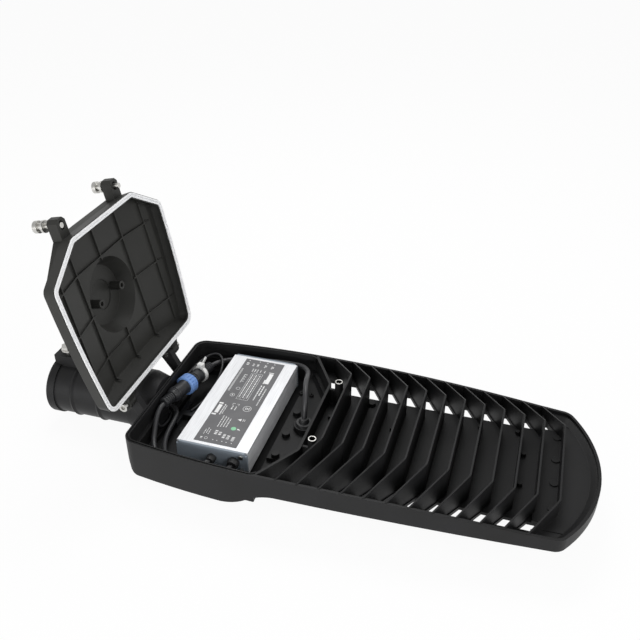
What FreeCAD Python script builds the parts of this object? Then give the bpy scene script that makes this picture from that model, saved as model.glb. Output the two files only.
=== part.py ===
# LED street light head with a hinged gear compartment lid, shown open
import FreeCAD, Part
import Sketcher
import math
import os
from FreeCAD import Placement, Rotation, Vector

doc = FreeCAD.newDocument("street_light_head")
sheet = doc.addObject("Spreadsheet::Sheet", "sizes")

# Driving sizes in millimetres and degrees. X runs from the pole socket's mouth to the nose,
# Y across the head and Z up, with the origin on the socket's axis.
SIZES = (
    ("body_rear", 140.5, "X of the compartment's rear wall"),
    ("compartment_length", 158.5, "rear wall to the widest section"),
    ("chamfer_run", 33.0, "widest section to the compartment's front wall"),
    ("first_fin_setback", 21.8, "widest section to the first fin's ends"),
    ("nose_overhang", 344.0, "widest section to the tip of the nose"),
    ("rear_half_width", 101.2, "half width at the rear wall"),
    ("widest_half_width", 113.7, "half width at the widest section"),
    ("front_half_width", 61.0, "half width of the compartment's front wall"),
    ("nose_half_width", 101.0, "half width where the sides meet the nose"),
    ("nose_radius", 160.0, "plan radius of the nose"),
    ("rear_bulge", 3.1, "bow of the compartment's sides"),
    ("side_bulge", 2.3, "bow of the heat sink's sides"),
    ("corner_radius", 15.0, "rear and nose corners in plan"),
    ("chamfer_radius", 12.0, "corners of the chamfered front in plan"),
    ("rim_height", 25.4, "Z of the compartment's rim"),
    ("nose_height", 13.5, "Z of the rim at the tip of the nose"),
    ("wall_top_radius", 3700.0, "curve of the side walls' top edge"),
    ("belly_depth", 22.0, "compartment's underside below the socket's axis"),
    ("belly_length", 117.5, "rear wall to the end of the deep belly"),
    ("belly_fairing", 61.0, "length of the belly's run-out"),
    ("rear_lean", 6.0, "lean of the rear wall below the rim"),
    ("wall_step", 4.0, "step of the compartment's walls at the fins' base"),
    ("heel_radius", 10.0, "rounding of the rear wall into the belly"),
    ("floor_inset", 12.8, "outer face to the lowest floor"),
    ("front_floor", -8.0, "floor beside the raised floor"),
    ("wall", 3.2, "wall of the casting"),
    ("floor_top", 4.0, "upper face of the fins' base"),
    ("rim_width", 4.6, "width of the compartment's rim"),
    ("rim_groove_depth", 1.6, "depth of the groove in the rim"),
    ("fin_count", 12, "cooling fins"),
    ("fin_pitch", 23.06, "fin spacing"),
    ("fin_thickness", 2.0, "fin sheet"),
    ("fin_bend", 59.5, "half width of the fins' straight middle"),
    ("fin_bend_radius", 6.0, "inside radius of a fin's bend"),
    ("first_fin_sweep", 35.3, "forward sweep of the first fin's middle"),
    ("last_fin_sweep", 27.1, "forward sweep of the last fin's middle"),
    ("first_fin_crown", 21.1, "first fin's middle above its ends"),
    ("last_fin_crown", 11.6, "last fin's middle above its ends"),
    ("window_inner", 73.0, "half width of the base plate between the windows"),
    ("window_ledge", 19.0, "side wall's outer face to the window"),
    ("window_margin", 1.2, "web between a fin and a window"),
    ("tray_height", 7.0, "floor of the nose tray"),
    ("tray_band", 7.0, "width of the tray's sloping band"),
    ("tray_rim", 1.0, "ledge between the nose's rim and the sloping band"),
    ("tray_band_rise", 4.0, "rise of the tray's sloping band"),
    ("nose_post_radius", 4.7, "posts behind the nose"),
    ("nose_post_spacing", 37.5, "spacing of the posts behind the nose"),
    ("post_height", 4.2, "posts above the base"),
    ("small_post_radius", 2.7, "small posts between the fins"),
    ("small_post_pitch", 73.7, "spacing of the rows of small posts"),
    ("nose_post_x", 596.0, "X of the posts behind the nose"),
    ("nose_post_start", 61.0, "Y of the first post behind the nose"),
    ("small_post_first", 341.0, "X of the first row of small posts"),
    ("small_post_y", 24.0, "small posts from the centre line"),
    ("front_post_x", 552.5, "small post near the nose, far side"),
    ("front_post_y", 59.5, "small post near the nose, far side"),
    ("middle_post_x", 510.7, "small post behind it"),
    ("middle_post_y", 56.5, "small post behind it"),
    ("rear_post_x", 381.5, "broad post behind the first fins"),
    ("rear_post_y", 62.5, "broad post behind the first fins"),
    ("floor_post_top", 2.5, "top of the raised floor's posts"),
    ("floor_post_x", 299.0, "X of the raised floor's posts"),
    ("floor_post_far_y", 27.0, "far post of the raised floor"),
    ("floor_post_middle_y", -13.0, "middle post of the raised floor"),
    ("floor_post_near_y", -49.0, "near post of the raised floor"),
    ("small_boss_top", 0.0, "top of the raised floor's hollow bosses"),
    ("small_boss_rear_x", 292.0, "first small boss of the raised floor"),
    ("small_boss_middle_x", 305.0, "second small boss of the raised floor"),
    ("small_boss_front_x", 311.4, "third small boss of the raised floor"),
    ("small_boss_far_y", 66.0, "first two small bosses"),
    ("small_boss_near_y", -48.0, "third small boss"),
    ("small_boss_hole", 1.3, "holes in the small bosses"),
    ("support_radius", 4.5, "posts under the driver's tabs"),
    ("grommet_hole", 6.0, "hole of the floor gland"),
    ("grommet_radius", 9.0, "rubber top of the floor gland"),
    ("grommet_top", 12.0, "top of the rubber floor gland"),
    ("hub_bore", 27.0, "bore of the hub for the socket's spigot"),
    ("spigot_length", 15.0, "socket's spigot in the hub"),
    ("hub_taper", 30.0, "length of the hub's taper into the belly"),
    ("rear_hole", 9.0, "hole in the rear wall for the cables"),
    ("rear_hole_z", -6.5, "Z of the rear wall's cable hole"),
    ("grommet_lip", 2.0, "lips of the rear grommet"),
    ("socket_radius", 34.3, "outside of the pole socket"),
    ("socket_collar", 10.0, "collar at the pole socket's mouth"),
    ("bead_first", 33.5, "mouth to the first bead"),
    ("bead_second", 68.0, "mouth to the second bead"),
    ("bead_width", 6.0, "beads of the pole socket"),
    ("pad_half_width", 8.5, "half width of the set screws' pad"),
    ("pad_start", 2.0, "mouth to the set screws' pad"),
    ("pad_top", 47.0, "top of the set screws' pad"),
    ("set_screw_top", 52.5, "underside of the set screws' heads"),
    ("set_screw_head", 6.6, "half width over flats of the set screws' heads"),
    ("set_screw_head_height", 5.5, "heads of the set screws"),
    ("grub_radius", 3.0, "grub screws of the hub"),
    ("hinge_head_radius", 5.0, "heads of the hinge screws"),
    ("hinge_head_height", 5.5, "heads of the hinge screws"),
    ("hinge_socket", 3.0, "sockets in the hinge screws' heads"),
    ("rib_groove", 1.2, "grooves round the lid's knuckles"),
    ("lid_edge", 1.0, "gasket proud of the lid's edge"),
    ("lid_rear_slope", 8.8, "run of the lid's roof at the rear"),
    ("lid_flange", 7.0, "flange round the lid's inside"),
    ("dish_post_radius", 5.0, "posts in the dish"),
    ("dish_centre", 64.0, "widest section to the middle of the dish"),
    ("dish_skin", 2.4, "wall of the dish"),
    ("gasket_inset", 0.8, "lid's edge to the gasket"),
    ("gasket_groove", 1.2, "groove in the gasket"),
    ("lug_slot", 2.0, "half length of the lugs' slots"),
    ("lid_screw_length", 20.0, "shank of the lid screws"),
    ("lid_screw_flange", 6.6, "flanges of the lid screws' heads"),
    ("lid_screw_neck", 4.2, "neck of the lid screws' heads"),
    ("lid_screw_head", 12.0, "height of the lid screws' heads"),
    ("lid_screw_collar", 2.5, "height of the lid screws' lower flange"),
    ("lid_screw_cap", 4.5, "height of the lid screws' upper flange"),
    ("lid_screw_key", 3.0, "lid screws' hexagon socket, centre to corner"),
    ("lid_screw_key_depth", 4.0, "depth of the lid screws' hexagon socket"),
    ("piece_overlap", 0.5, "turned parts of one piece run into each other"),
    ("platform_top", -3.0, "raised floor at the compartment's front"),
    ("platform_edge", 290.0, "X of the raised floor's edge"),
    ("platform_near", -54.0, "Y of the raised floor's near edge"),
    ("lid_screw_y", 52.6, "lid screws from the centre line"),
    ("lid_screw_setback", 11.2, "front wall to the lid screws"),
    ("lid_boss_top", 36.8, "machined top of the lid screws' bosses"),
    ("lid_boss_radius", 4.8, "lid screws' bosses"),
    ("boss_web", 3.0, "webs between the bosses and the front wall"),
    ("lid_screw_radius", 3.0, "lid screws' thread"),
    ("gland_x", 315.0, "X of the floor gland"),
    ("gland_y", 5.5, "Y of the floor gland"),
    ("gland_boss_radius", 12.3, "boss under the floor gland"),
    ("gland_boss_top", 4.0, "top of the boss under the floor gland"),
    ("wire_radius", 1.3, "thin wire"),
    ("cable_radius", 3.0, "driver and module cables"),
    ("hub_radius", 36.2, "hub behind the compartment"),
    ("hub_length", 26.5, "rear wall to the socket's flange"),
    ("hub_shoulder", 17.0, "rear wall to the start of the hub's fall"),
    ("hub_neck", 31.5, "radius of the hub's upper half at the rear wall"),
    ("hub_gap", 0.6, "hub's upper half short of the rear wall's face"),
    ("socket_bore", 61.0, "bore for a 60 mm pole end"),
    ("socket_depth", 80.0, "depth of the pole socket's bore"),
    ("socket_bead", 1.7, "height of the pole socket's beads"),
    ("cable_way", 34.0, "cable way through the hub"),
    ("set_screw_radius", 4.0, "set screws of the pole socket"),
    ("set_screw_first", 17.0, "mouth to the first set screw"),
    ("set_screw_pitch", 36.0, "spacing of the set screws"),
    ("hinge_behind", 14.5, "hinge axis behind the rear wall"),
    ("hinge_above", 12.9, "hinge axis above the rim"),
    ("hinge_ear_radius", 7.5, "hinge ears"),
    ("hinge_ear_y", 45.0, "middle of a housing ear"),
    ("hinge_ear_width", 8.0, "width of a housing ear"),
    ("hinge_knuckle_width", 12.0, "width of a lid knuckle"),
    ("hinge_pin_radius", 2.5, "hinge screw's shank"),
    ("hinge_side_gap", 0.3, "side play between ear and knuckle"),
    ("hinge_pin_gap", 0.06, "running clearance of the hinge screws"),
    ("lid_angle", 102.0, "opening of the lid as shown"),
    ("lid_gap", 0.3, "gasket to rim with the lid shut"),
    ("lid_side_height", 15.5, "height of the lid's side walls"),
    ("lid_crown", 26.5, "height of the lid at its flat middle"),
    ("lid_flat", 48.0, "half width of the lid's flat middle"),
    ("lid_draft", 2.8, "slope of the lid's side walls, inwards"),
    ("lid_wall", 2.6, "wall of the lid"),
    ("lid_rib_pitch", 48.0, "spacing of the lengthwise ribs"),
    ("lid_rib_height", 2.4, "height of the lid's ribs"),
    ("lid_rib_thickness", 1.6, "thickness of the lid's ribs"),
    ("rib_post_y", 91.0, "posts at the cross ribs' ends"),
    ("rib_post_radius", 2.5, "posts at the cross ribs' ends"),
    ("rib_post_height", 2.0, "posts below the lid's eaves"),
    ("lid_cross_first", 16.5, "widest section to the first cross rib"),
    ("lid_cross_pitch", 50.5, "spacing of the cross ribs"),
    ("dish_radius", 43.5, "rim of the lid's round dish"),
    ("dish_floor_radius", 34.5, "flat floor of the dish"),
    ("dish_depth", 16.0, "depth of the dish"),
    ("dish_step_radius", 17.5, "sunk middle of the dish's floor"),
    ("dish_step_depth", 1.0, "sunk middle of the dish's floor"),
    ("dish_post_y", 22.0, "posts in the dish from the centre line"),
    ("dish_post_height", 14.5, "posts in the dish"),
    ("gasket_width", 5.0, "lid gasket"),
    ("gasket_height", 2.0, "lid gasket"),
    ("lug_reach", 19.0, "lid lugs in front of the lid"),
    ("lug_width", 15.0, "lid lugs"),
    ("lug_bottom", 12.6, "underside of the lid lugs above the rim"),
    ("lug_height", 12.0, "height of the lid lugs"),
    ("near_screw_lift", 8.0, "near lid screw as drawn out"),
    ("far_screw_lift", 2.0, "far lid screw as drawn out"),
    ("driver_rear", 196.0, "X of the driver's rear side"),
    ("driver_width", 83.0, "driver along X"),
    ("driver_length", 168.5, "driver case along Y"),
    ("driver_centre_y", 5.2, "middle of the driver"),
    ("driver_top", 21.5, "Z of the driver's top"),
    ("driver_height", 32.5, "driver case"),
    ("driver_end", 2.5, "driver end plates"),
    ("driver_tab", 8.0, "mounting tabs of the driver's end plates"),
    ("groove_first", 6.0, "driver's top to the first side groove"),
    ("groove_pitch", 3.6, "grooves of the driver's case"),
    ("groove_width", 1.8, "side grooves of the driver's case"),
    ("groove_depth", 1.2, "side grooves of the driver's case"),
    ("end_notch", 3.0, "notches in the top corners of the end plates"),
    ("end_screw_inset", 7.0, "case's sides to the end plates' screws"),
    ("end_screw_low", 9.0, "case's underside to the lower end screws"),
    ("end_screw_high", 5.0, "case's top to the upper end screw"),
    ("end_screw_radius", 1.5, "screws of the driver's end plates"),
    ("tab_screw_radius", 2.0, "screws of the driver's tabs"),
    ("label_offset", 18.0, "driver's rear side to its label"),
    ("label_width", 50.0, "driver's label"),
    ("label_length", 160.0, "driver's label"),
    ("label_thickness", 0.4, "driver's label"),
    ("input_bush_x", 237.6, "X of the driver's input bush"),
    ("output_bush_x", 263.3, "X of the driver's output bush"),
    ("bush_z", 7.6, "Z of the driver's bushes"),
    ("input_bush_radius", 5.4, "driver's input bush"),
    ("output_bush_radius", 6.9, "driver's output bush"),
    ("connector_near_x", 151.0, "X of the connector's near end"),
    ("connector_near_y", -22.0, "Y of the connector's near end"),
    ("connector_near_z", 17.0, "Z of the connector's near end"),
    ("connector_far_x", 167.5, "X of the connector's far end"),
    ("connector_far_y", 74.0, "Y of the connector's far end"),
    ("connector_far_z", 8.0, "Z of the connector's far end"),
    ("relief_length", 16.0, "ribbed strain reliefs of the connector"),
    ("relief_radius", 6.4, "ribbed strain reliefs of the connector"),
    ("tie_width", 4.8, "cable tie"),
    ("tie_thickness", 1.3, "cable tie"),
    ("tie_head_width", 7.0, "cable tie's head across the strap"),
    ("tie_head_height", 4.6, "cable tie's head above the strap"),
    ("tie_head_margin", 0.8, "cable tie's head past the strap on each side"),
    ("tie_tail_length", 12.0, "cable tie's cut tail"),
    ("tie_tail_thickness", 1.2, "cable tie's cut tail"),
    ("tie_tail_angle", 48.0, "lean of the cable tie's tail"),
    ("bracket_top", -12.0, "top of the cable bracket"),
    ("bracket_x", 158.0, "rear face of the cable bracket"),
    ("bracket_width", 6.0, "crossbar of the cable bracket"),
    ("bracket_near_y", -19.0, "near end of the crossbar"),
    ("bracket_far_y", 24.0, "far end of the crossbar"),
    ("bracket_leg_near_y", -2.0, "near side of the bracket's leg"),
    ("bracket_leg_far_y", 8.0, "far side of the bracket's leg"),
    ("bracket_leg_reach", 13.0, "leg of the bracket"),
    ("bracket_post_x", 176.0, "post beside the bracket"),
    ("bracket_post_y", -27.0, "post beside the bracket"),
    ("connector_radius", 9.2, "connector shells"),
    ("scallop_radius", 0.9, "scallops round the coupling ring"),
    ("scallop_margin", 1.5, "coupling ring's ends to its scallops"),
    ("ring_radius", 12.3, "connector's coupling ring"),
    ("ring_length", 13.0, "connector's coupling ring"),
    ("module_start", 11.0, "front wall to the first light module"),
    ("module_length", 113.0, "light module along X"),
    ("module_gap", 8.0, "gap between the light modules"),
    ("module_half_width", 62.0, "half width of a light module"),
    ("board_thickness", 1.6, "light module's board"),
    ("board_margin", 6.0, "light modules' edge to their boards"),
    ("lens_thickness", 3.0, "lens plate"),
    ("lens_screw_radius", 1.5, "screws of the light modules"),
    ("lens_screw_inset", 2.5, "light module's edge to its screws"),
    ("lens_radius", 7.0, "single lens"),
    ("lens_height", 3.2, "single lens below its plate"),
)

for row, (alias, value, meaning) in enumerate(SIZES, start=1):
    sheet.set(f"A{row}", meaning)
    sheet.set(f"B{row}", str(value))
    sheet.setAlias(f"B{row}", alias)
doc.recompute()


def size(alias):
    """Value of one driving size."""
    return float(sheet.get(alias))


class Sizes:
    """The sheet's values as attributes, for shapes that are set from code."""

    def __getattr__(self, alias):
        return size(alias)


s = Sizes()
widest_x = s.body_rear + s.compartment_length
front_x = widest_x + s.chamfer_run
first_fin_x = widest_x + s.first_fin_setback
nose_x = widest_x + s.nose_overhang
hinge_x = s.body_rear - s.hinge_behind
hinge_z = s.rim_height + s.hinge_above
lid_base = s.rim_height + s.lid_gap
HIGH = 400.0


class Length:
    """A number from the sheet together with the formula that gives it."""

    def __init__(self, value, text):
        self.value = value
        self.text = text

    def join(self, sign, other, value):
        text = other.text if isinstance(other, Length) else repr(other)
        return Length(value, f"({self.text} {sign} {text})")

    def __add__(self, other):
        return self.join("+", other, self.value + number(other))

    def __sub__(self, other):
        return self.join("-", other, self.value - number(other))

    def __mul__(self, other):
        return self.join("*", other, self.value * number(other))

    def __truediv__(self, other):
        return self.join("/", other, self.value / number(other))

    def __neg__(self):
        return Length(-self.value, f"(-{self.text})")


def number(item):
    return item.value if isinstance(item, Length) else float(item)


def formula(item):
    return item.text if isinstance(item, Length) else repr(float(item))


class Formulas:
    """The sheet's values as lengths that keep their formulas, for bound features."""

    def __getattr__(self, alias):
        return Length(size(alias), f"sizes.{alias}")


b = Formulas()
WIDEST = b.body_rear + b.compartment_length
FRONT = WIDEST + b.chamfer_run
DRIVER_NEAR = b.driver_centre_y - b.driver_length / 2


def bind(item, **formulas):
    """Tie an object's properties to formulas; a double underscore stands for a dot."""
    for path, value in formulas.items():
        name = path.replace("__", ".")
        item.setExpression(name if "." not in name else "." + name, formula(value))


def place(item, x=0, y=0, z=0):
    bind(item, Placement__Base__x=x, Placement__Base__y=y, Placement__Base__z=z)


# Plain shapes for the castings

def prism(face, low, high):
    """Solid above a face drawn at Z = 0, from low to high."""
    moved = face.translated(Vector(0, 0, low))
    return moved.extrude(Vector(0, 0, high - low))


def polygon(points):
    return Part.Face(Part.makePolygon([Vector(*p) for p in points] + [Vector(*points[0])]))


def side_slab(outline, low_y, high_y):
    """Slab along Y whose section in the XZ plane is the given outline."""
    face = polygon([(x, low_y, z) for x, z in outline])
    return face.extrude(Vector(0, high_y - low_y, 0))


def cross_slab(outline, low_x, high_x):
    """Slab along X whose section in the YZ plane is the given outline."""
    face = polygon([(low_x, y, z) for y, z in outline])
    return face.extrude(Vector(high_x - low_x, 0, 0))


def block(low, high):
    return Part.makeBox(high[0] - low[0], high[1] - low[1], high[2] - low[2], Vector(*low))


def post(radius, x, y, low, high):
    return Part.makeCylinder(radius, high - low, Vector(x, y, low))


def bar(radius, x, z, low_y, high_y):
    """Round bar along Y."""
    return Part.makeCylinder(radius, high_y - low_y, Vector(x, low_y, z), Vector(0, 1, 0))


def rounded(face, corners):
    """The face with its corners rounded; corners holds a point and a radius for each."""
    solid = face.extrude(Vector(0, 0, 10))
    for x, y, radius in corners:
        edges = [
            edge for edge in solid.Edges
            if abs(edge.BoundBox.XLength) < 0.01 and abs(edge.BoundBox.YLength) < 0.01
            and math.hypot(edge.CenterOfMass.x - x, edge.CenterOfMass.y - y) < 0.5
        ]
        solid = solid.makeFillet(radius, edges)
    low = min(solid.Faces, key=lambda f: f.CenterOfMass.z)
    return plain_outline(low)


def plain_outline(face):
    """The face with its outline made of straight lines and circular arcs only."""
    edges = []
    for edge in face.OuterWire.OrderedEdges:
        start, end = edge.FirstParameter, edge.LastParameter
        first, middle, last = [edge.valueAt(at) for at in (start, (start + end) / 2, end)]
        if ((first + last) * 0.5).distanceToPoint(middle) < 1e-4:
            edges.append(Part.makeLine(first, last))
        else:
            edges.append(Part.Arc(first, middle, last).toShape())
    return Part.Face(Part.Wire(Part.__sortEdges__(edges)))


def inset(face, distance):
    """The face drawn in by a distance on every side."""
    return plain_outline(face.makeOffset2D(-distance))


def bowed(x0, y0, x1, y1, bulge):
    """Arc in plan between two points, bowed outwards at its middle."""
    length = math.hypot(x1 - x0, y1 - y0)
    outward = math.copysign(1, y0 + y1)
    normal = Vector(-(y1 - y0) / length, (x1 - x0) / length, 0)
    if normal.y * outward < 0:
        normal = normal * -1
    middle = Vector((x0 + x1) / 2, (y0 + y1) / 2, 0) + normal * bulge
    return Part.Arc(Vector(x0, y0, 0), middle, Vector(x1, y1, 0)).toShape()


def line(x0, y0, x1, y1):
    return Part.makeLine(Vector(x0, y0, 0), Vector(x1, y1, 0))


# Plan outlines

nose_centre = nose_x - s.nose_radius
nose_corner = nose_centre + math.sqrt(s.nose_radius ** 2 - s.nose_half_width ** 2)


def body_outline():
    """Whole head in plan: bowed sides between the rear wall and the round nose."""
    rear, mid, end = s.rear_half_width, s.widest_half_width, s.nose_half_width
    nose = Part.Arc(
        Vector(nose_corner, -end, 0), Vector(nose_x, 0, 0), Vector(nose_corner, end, 0)
    ).toShape()
    edges = [
        line(s.body_rear, rear, s.body_rear, -rear),
        bowed(s.body_rear, -rear, widest_x, -mid, s.rear_bulge),
        bowed(widest_x, -mid, nose_corner, -end, s.side_bulge),
        nose,
        bowed(nose_corner, end, widest_x, mid, s.side_bulge),
        bowed(widest_x, mid, s.body_rear, rear, s.rear_bulge),
    ]
    corners = []
    for side in (-1, 1):
        corners.append((s.body_rear, side * rear, s.corner_radius))
        corners.append((nose_corner, side * end, s.corner_radius))
    return rounded(Part.Face(Part.Wire(edges)), corners)


def compartment_outline():
    """Gear compartment in plan, which the lid repeats: chamfered towards the fins."""
    rear, mid, front = s.rear_half_width, s.widest_half_width, s.front_half_width
    edges = [
        line(s.body_rear, rear, s.body_rear, -rear),
        bowed(s.body_rear, -rear, widest_x, -mid, s.rear_bulge),
        line(widest_x, -mid, front_x, -front),
        line(front_x, -front, front_x, front),
        line(front_x, front, widest_x, mid),
        bowed(widest_x, mid, s.body_rear, rear, s.rear_bulge),
    ]
    corners = []
    for side in (-1, 1):
        corners.append((s.body_rear, side * rear, s.corner_radius))
        corners.append((widest_x, side * mid, s.chamfer_radius))
        corners.append((front_x, side * front, s.chamfer_radius))
    return rounded(Part.Face(Part.Wire(edges)), corners)


def side_half_width(x):
    """Half width of the heat sink at a place along it."""
    share = (x - widest_x) / (nose_corner - widest_x)
    chord = s.widest_half_width + share * (s.nose_half_width - s.widest_half_width)
    return chord + s.side_bulge * (1 - (2 * share - 1) ** 2)


def wall_top(x):
    """Height of the side walls' top edge, which curves down towards the nose."""
    run = x - first_fin_x
    return s.rim_height - s.wall_top_radius + math.sqrt(s.wall_top_radius ** 2 - run ** 2)


# Main housing: compartment, fins, nose and bosses cast in one

body_plan = body_outline()
gear_plan = compartment_outline()
fin_count = int(s.fin_count)
last_fin_x = first_fin_x + s.fin_pitch * (fin_count - 1)


def side_view():
    """The casting's outline from the side."""
    belly = -s.belly_depth
    belly_end = s.body_rear + s.belly_length
    fairing_mid = belly_end + s.belly_fairing / 2
    fairing_end = belly_end + s.belly_fairing
    lean = s.rear_lean
    heel = s.heel_radius
    crest = (first_fin_x + last_fin_x) / 2
    points = [
        Vector(s.body_rear, 0, s.rim_height),
        Vector(s.body_rear, 0, s.floor_top),
        Vector(s.body_rear + lean, 0, belly + heel),
        Vector(s.body_rear + lean + heel, 0, belly),
        Vector(belly_end, 0, belly),
        Vector(fairing_mid, 0, belly / 2),
        Vector(fairing_end, 0, 0),
        Vector(nose_x + 1, 0, 0),
        Vector(nose_x + 1, 0, s.nose_height),
        Vector(last_fin_x, 0, wall_top(last_fin_x)),
        Vector(crest, 0, wall_top(crest)),
        Vector(first_fin_x, 0, s.rim_height),
    ]
    heel_mid = Vector(s.body_rear + lean + heel * 0.3, 0, belly + heel * 0.3)
    first_bend = Vector((belly_end + fairing_mid) / 2, 0, belly * 0.86)
    second_bend = Vector((fairing_mid + fairing_end) / 2, 0, belly * 0.14)
    edges = [
        Part.makeLine(points[0], points[1]),
        Part.makeLine(points[1], points[2]),
        Part.Arc(points[2], heel_mid, points[3]).toShape(),
        Part.makeLine(points[3], points[4]),
        Part.Arc(points[4], first_bend, points[5]).toShape(),
        Part.Arc(points[5], second_bend, points[6]).toShape(),
        Part.makeLine(points[6], points[7]),
        Part.makeLine(points[7], points[8]),
        Part.makeLine(points[8], points[9]),
        Part.Arc(points[9], points[10], points[11]).toShape(),
        Part.makeLine(points[11], points[0]),
    ]
    face = Part.Face(Part.Wire(edges))
    face.translate(Vector(0, -HIGH / 2, 0))
    return face.extrude(Vector(0, HIGH, 0))


def fin_line_x(index, y):
    """Centre line of a fin in plan: straight in the middle, swept back at the sides."""
    share = index / (fin_count - 1)
    sweep = s.first_fin_sweep + share * (s.last_fin_sweep - s.first_fin_sweep)
    start = first_fin_x + s.fin_pitch * index
    reach = side_half_width(start) - s.fin_bend
    return start + sweep - sweep * max(0.0, abs(y) - s.fin_bend) / reach


def fin(index):
    """One chevron fin, as high as the side walls at its ends and crowned in the middle."""
    start = first_fin_x + s.fin_pitch * index
    half = side_half_width(start)
    share = index / (fin_count - 1)
    low = wall_top(start)
    high = low + s.first_fin_crown + share * (s.last_fin_crown - s.first_fin_crown)
    edge = s.widest_half_width + s.wall
    bend = s.fin_bend
    back = s.fin_thickness / 2
    tip_x = fin_line_x(index, edge)
    mid_x = fin_line_x(index, 0)
    centre = [(tip_x, -edge), (mid_x, -bend), (mid_x, bend), (tip_x, edge)]
    front = [(x + back, y, 0) for x, y in centre]
    rear = [(x - back, y, 0) for x, y in reversed(centre)]
    corners = []
    for side in (-1, 1):
        corners.append((mid_x + back, side * bend, s.fin_bend_radius + s.fin_thickness))
        corners.append((mid_x - back, side * bend, s.fin_bend_radius))
    sheet_metal = prism(rounded(polygon(front + rear), corners), 0, high + 1)
    fall = (high - low) / (half - bend) * (edge - half)
    roof = [
        (-edge, -1), (edge, -1), (edge, low - fall), (bend, high), (-bend, high), (-edge, low - fall)
    ]
    return sheet_metal.common(cross_slab(roof, tip_x - HIGH, tip_x + HIGH))


def window(index, side):
    """Air opening beside the base plate, between one fin and the next."""
    middle = first_fin_x + s.fin_pitch * (index + 0.5)
    margin = s.fin_thickness / 2 + s.window_margin
    outer = side_half_width(middle) - s.window_ledge
    inner = s.window_inner
    if index < 0:
        start = [front_x - s.chamfer_run * (abs(y) - s.front_half_width)
                 / (s.widest_half_width - s.front_half_width) for y in (inner, outer)]
    else:
        start = [fin_line_x(index, y) for y in (inner, outer)]
    if index < fin_count - 1:
        end = [fin_line_x(index + 1, y) for y in (inner, outer)]
    else:
        inner += s.window_ledge / 2
        start = [fin_line_x(index, y) for y in (inner, outer)]
        end = [x + s.fin_pitch for x in start]
    points = [
        (start[0] + margin, side * inner, 0), (end[0] - margin, side * inner, 0),
        (end[1] - margin, side * outer, 0), (start[1] + margin, side * outer, 0),
    ]
    return prism(polygon(points), -HIGH / 8, s.tray_height + 1)


def shell():
    """Outer skin with its compartment, fin well and nose tray hollowed out."""
    solid = prism(body_plan, -HIGH / 4, HIGH / 4).common(side_view())
    tub_plan = inset(gear_plan, 3 * s.wall)
    tub = prism(tub_plan, s.platform_top - s.wall - 4, s.floor_top)
    deep = prism(tub_plan, -s.belly_depth, s.floor_top)
    deep = deep.common(block((s.body_rear, -HIGH, -HIGH), (s.platform_edge + s.wall, HIGH, HIGH)))
    solid = solid.fuse([tub, deep])
    well_plan = inset(body_plan, s.wall)
    well = prism(well_plan, s.floor_top, HIGH / 2).cut(prism(gear_plan, 0, HIGH))
    behind = block((0, -HIGH, -HIGH), (widest_x - s.wall, HIGH, HIGH))
    beyond = block((last_fin_x + s.wall, -HIGH, -HIGH), (nose_x, HIGH, HIGH))
    tray = nose_tray(well_plan)
    solid = solid.cut(well.cut(behind).cut(beyond))
    return solid.cut(tray)


def nose_tray(well_plan):
    """Space above the nose tray: upright rim, sloping band and flat floor."""
    band_top = s.tray_height + s.tray_band_rise
    upper = prism(well_plan, band_top, HIGH / 2)
    floor_plan = inset(body_plan, s.wall + s.tray_band)
    rim_plan = inset(body_plan, s.wall + s.tray_rim)
    floor_wire = floor_plan.OuterWire.translated(Vector(0, 0, s.tray_height))
    rim_wire = rim_plan.OuterWire.translated(Vector(0, 0, band_top))
    band = Part.makeLoft([floor_wire, rim_wire], True, True)
    ahead = block((last_fin_x + s.wall, -HIGH, -HIGH), (nose_x, HIGH, HIGH))
    return upper.fuse(band).common(ahead)


def gear_space():
    """Inside of the gear compartment, with its deep belly and raised front floor."""
    heel_top = s.heel_radius - s.belly_depth
    upper = prism(inset(gear_plan, s.wall), s.floor_top, HIGH / 2)
    middle = prism(inset(gear_plan, s.wall + s.wall_step), heel_top, HIGH / 2)
    leaning = side_slab([
        (s.body_rear, s.floor_top), (s.body_rear + s.wall, s.floor_top),
        (s.body_rear + s.wall + s.rear_lean, heel_top), (s.body_rear, heel_top),
    ], -HIGH, HIGH)
    lower = prism(inset(gear_plan, s.floor_inset), s.wall - s.belly_depth, HIGH / 2)
    ahead = block((s.platform_edge, s.platform_near, -HIGH), (HIGH * 2, HIGH, s.platform_top))
    belly_end = s.body_rear + s.belly_length
    lowest = s.wall - s.belly_depth
    floor = side_slab([
        (belly_end, -HIGH), (belly_end, lowest), (belly_end + s.belly_fairing / 2, s.front_floor),
        (HIGH * 2, s.front_floor), (HIGH * 2, -HIGH),
    ], -HIGH, HIGH)
    return upper.fuse(middle.fuse(lower).cut([ahead, floor, leaning]))


def rim_groove():
    """Groove along the compartment's rim, behind its outer lip, open at the front wall."""
    lip = s.rim_width * 0.36
    outer = prism(inset(gear_plan, lip), s.rim_height - s.rim_groove_depth, HIGH / 2)
    inner = prism(inset(gear_plan, s.rim_width - 0.3 * s.rim_width), 0, HIGH / 2)
    behind = block((0, -HIGH, 0), (widest_x, HIGH, HIGH))
    return outer.cut(inner).common(behind)


def rim_flange():
    """Thickening that carries the grooved rim."""
    ring = prism(gear_plan, s.rim_height - 2 * s.wall, s.rim_height)
    ring = ring.cut(prism(inset(gear_plan, s.rim_width), 0, HIGH))
    return ring.common(block((0, -HIGH, 0), (widest_x, HIGH, HIGH)))


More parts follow.
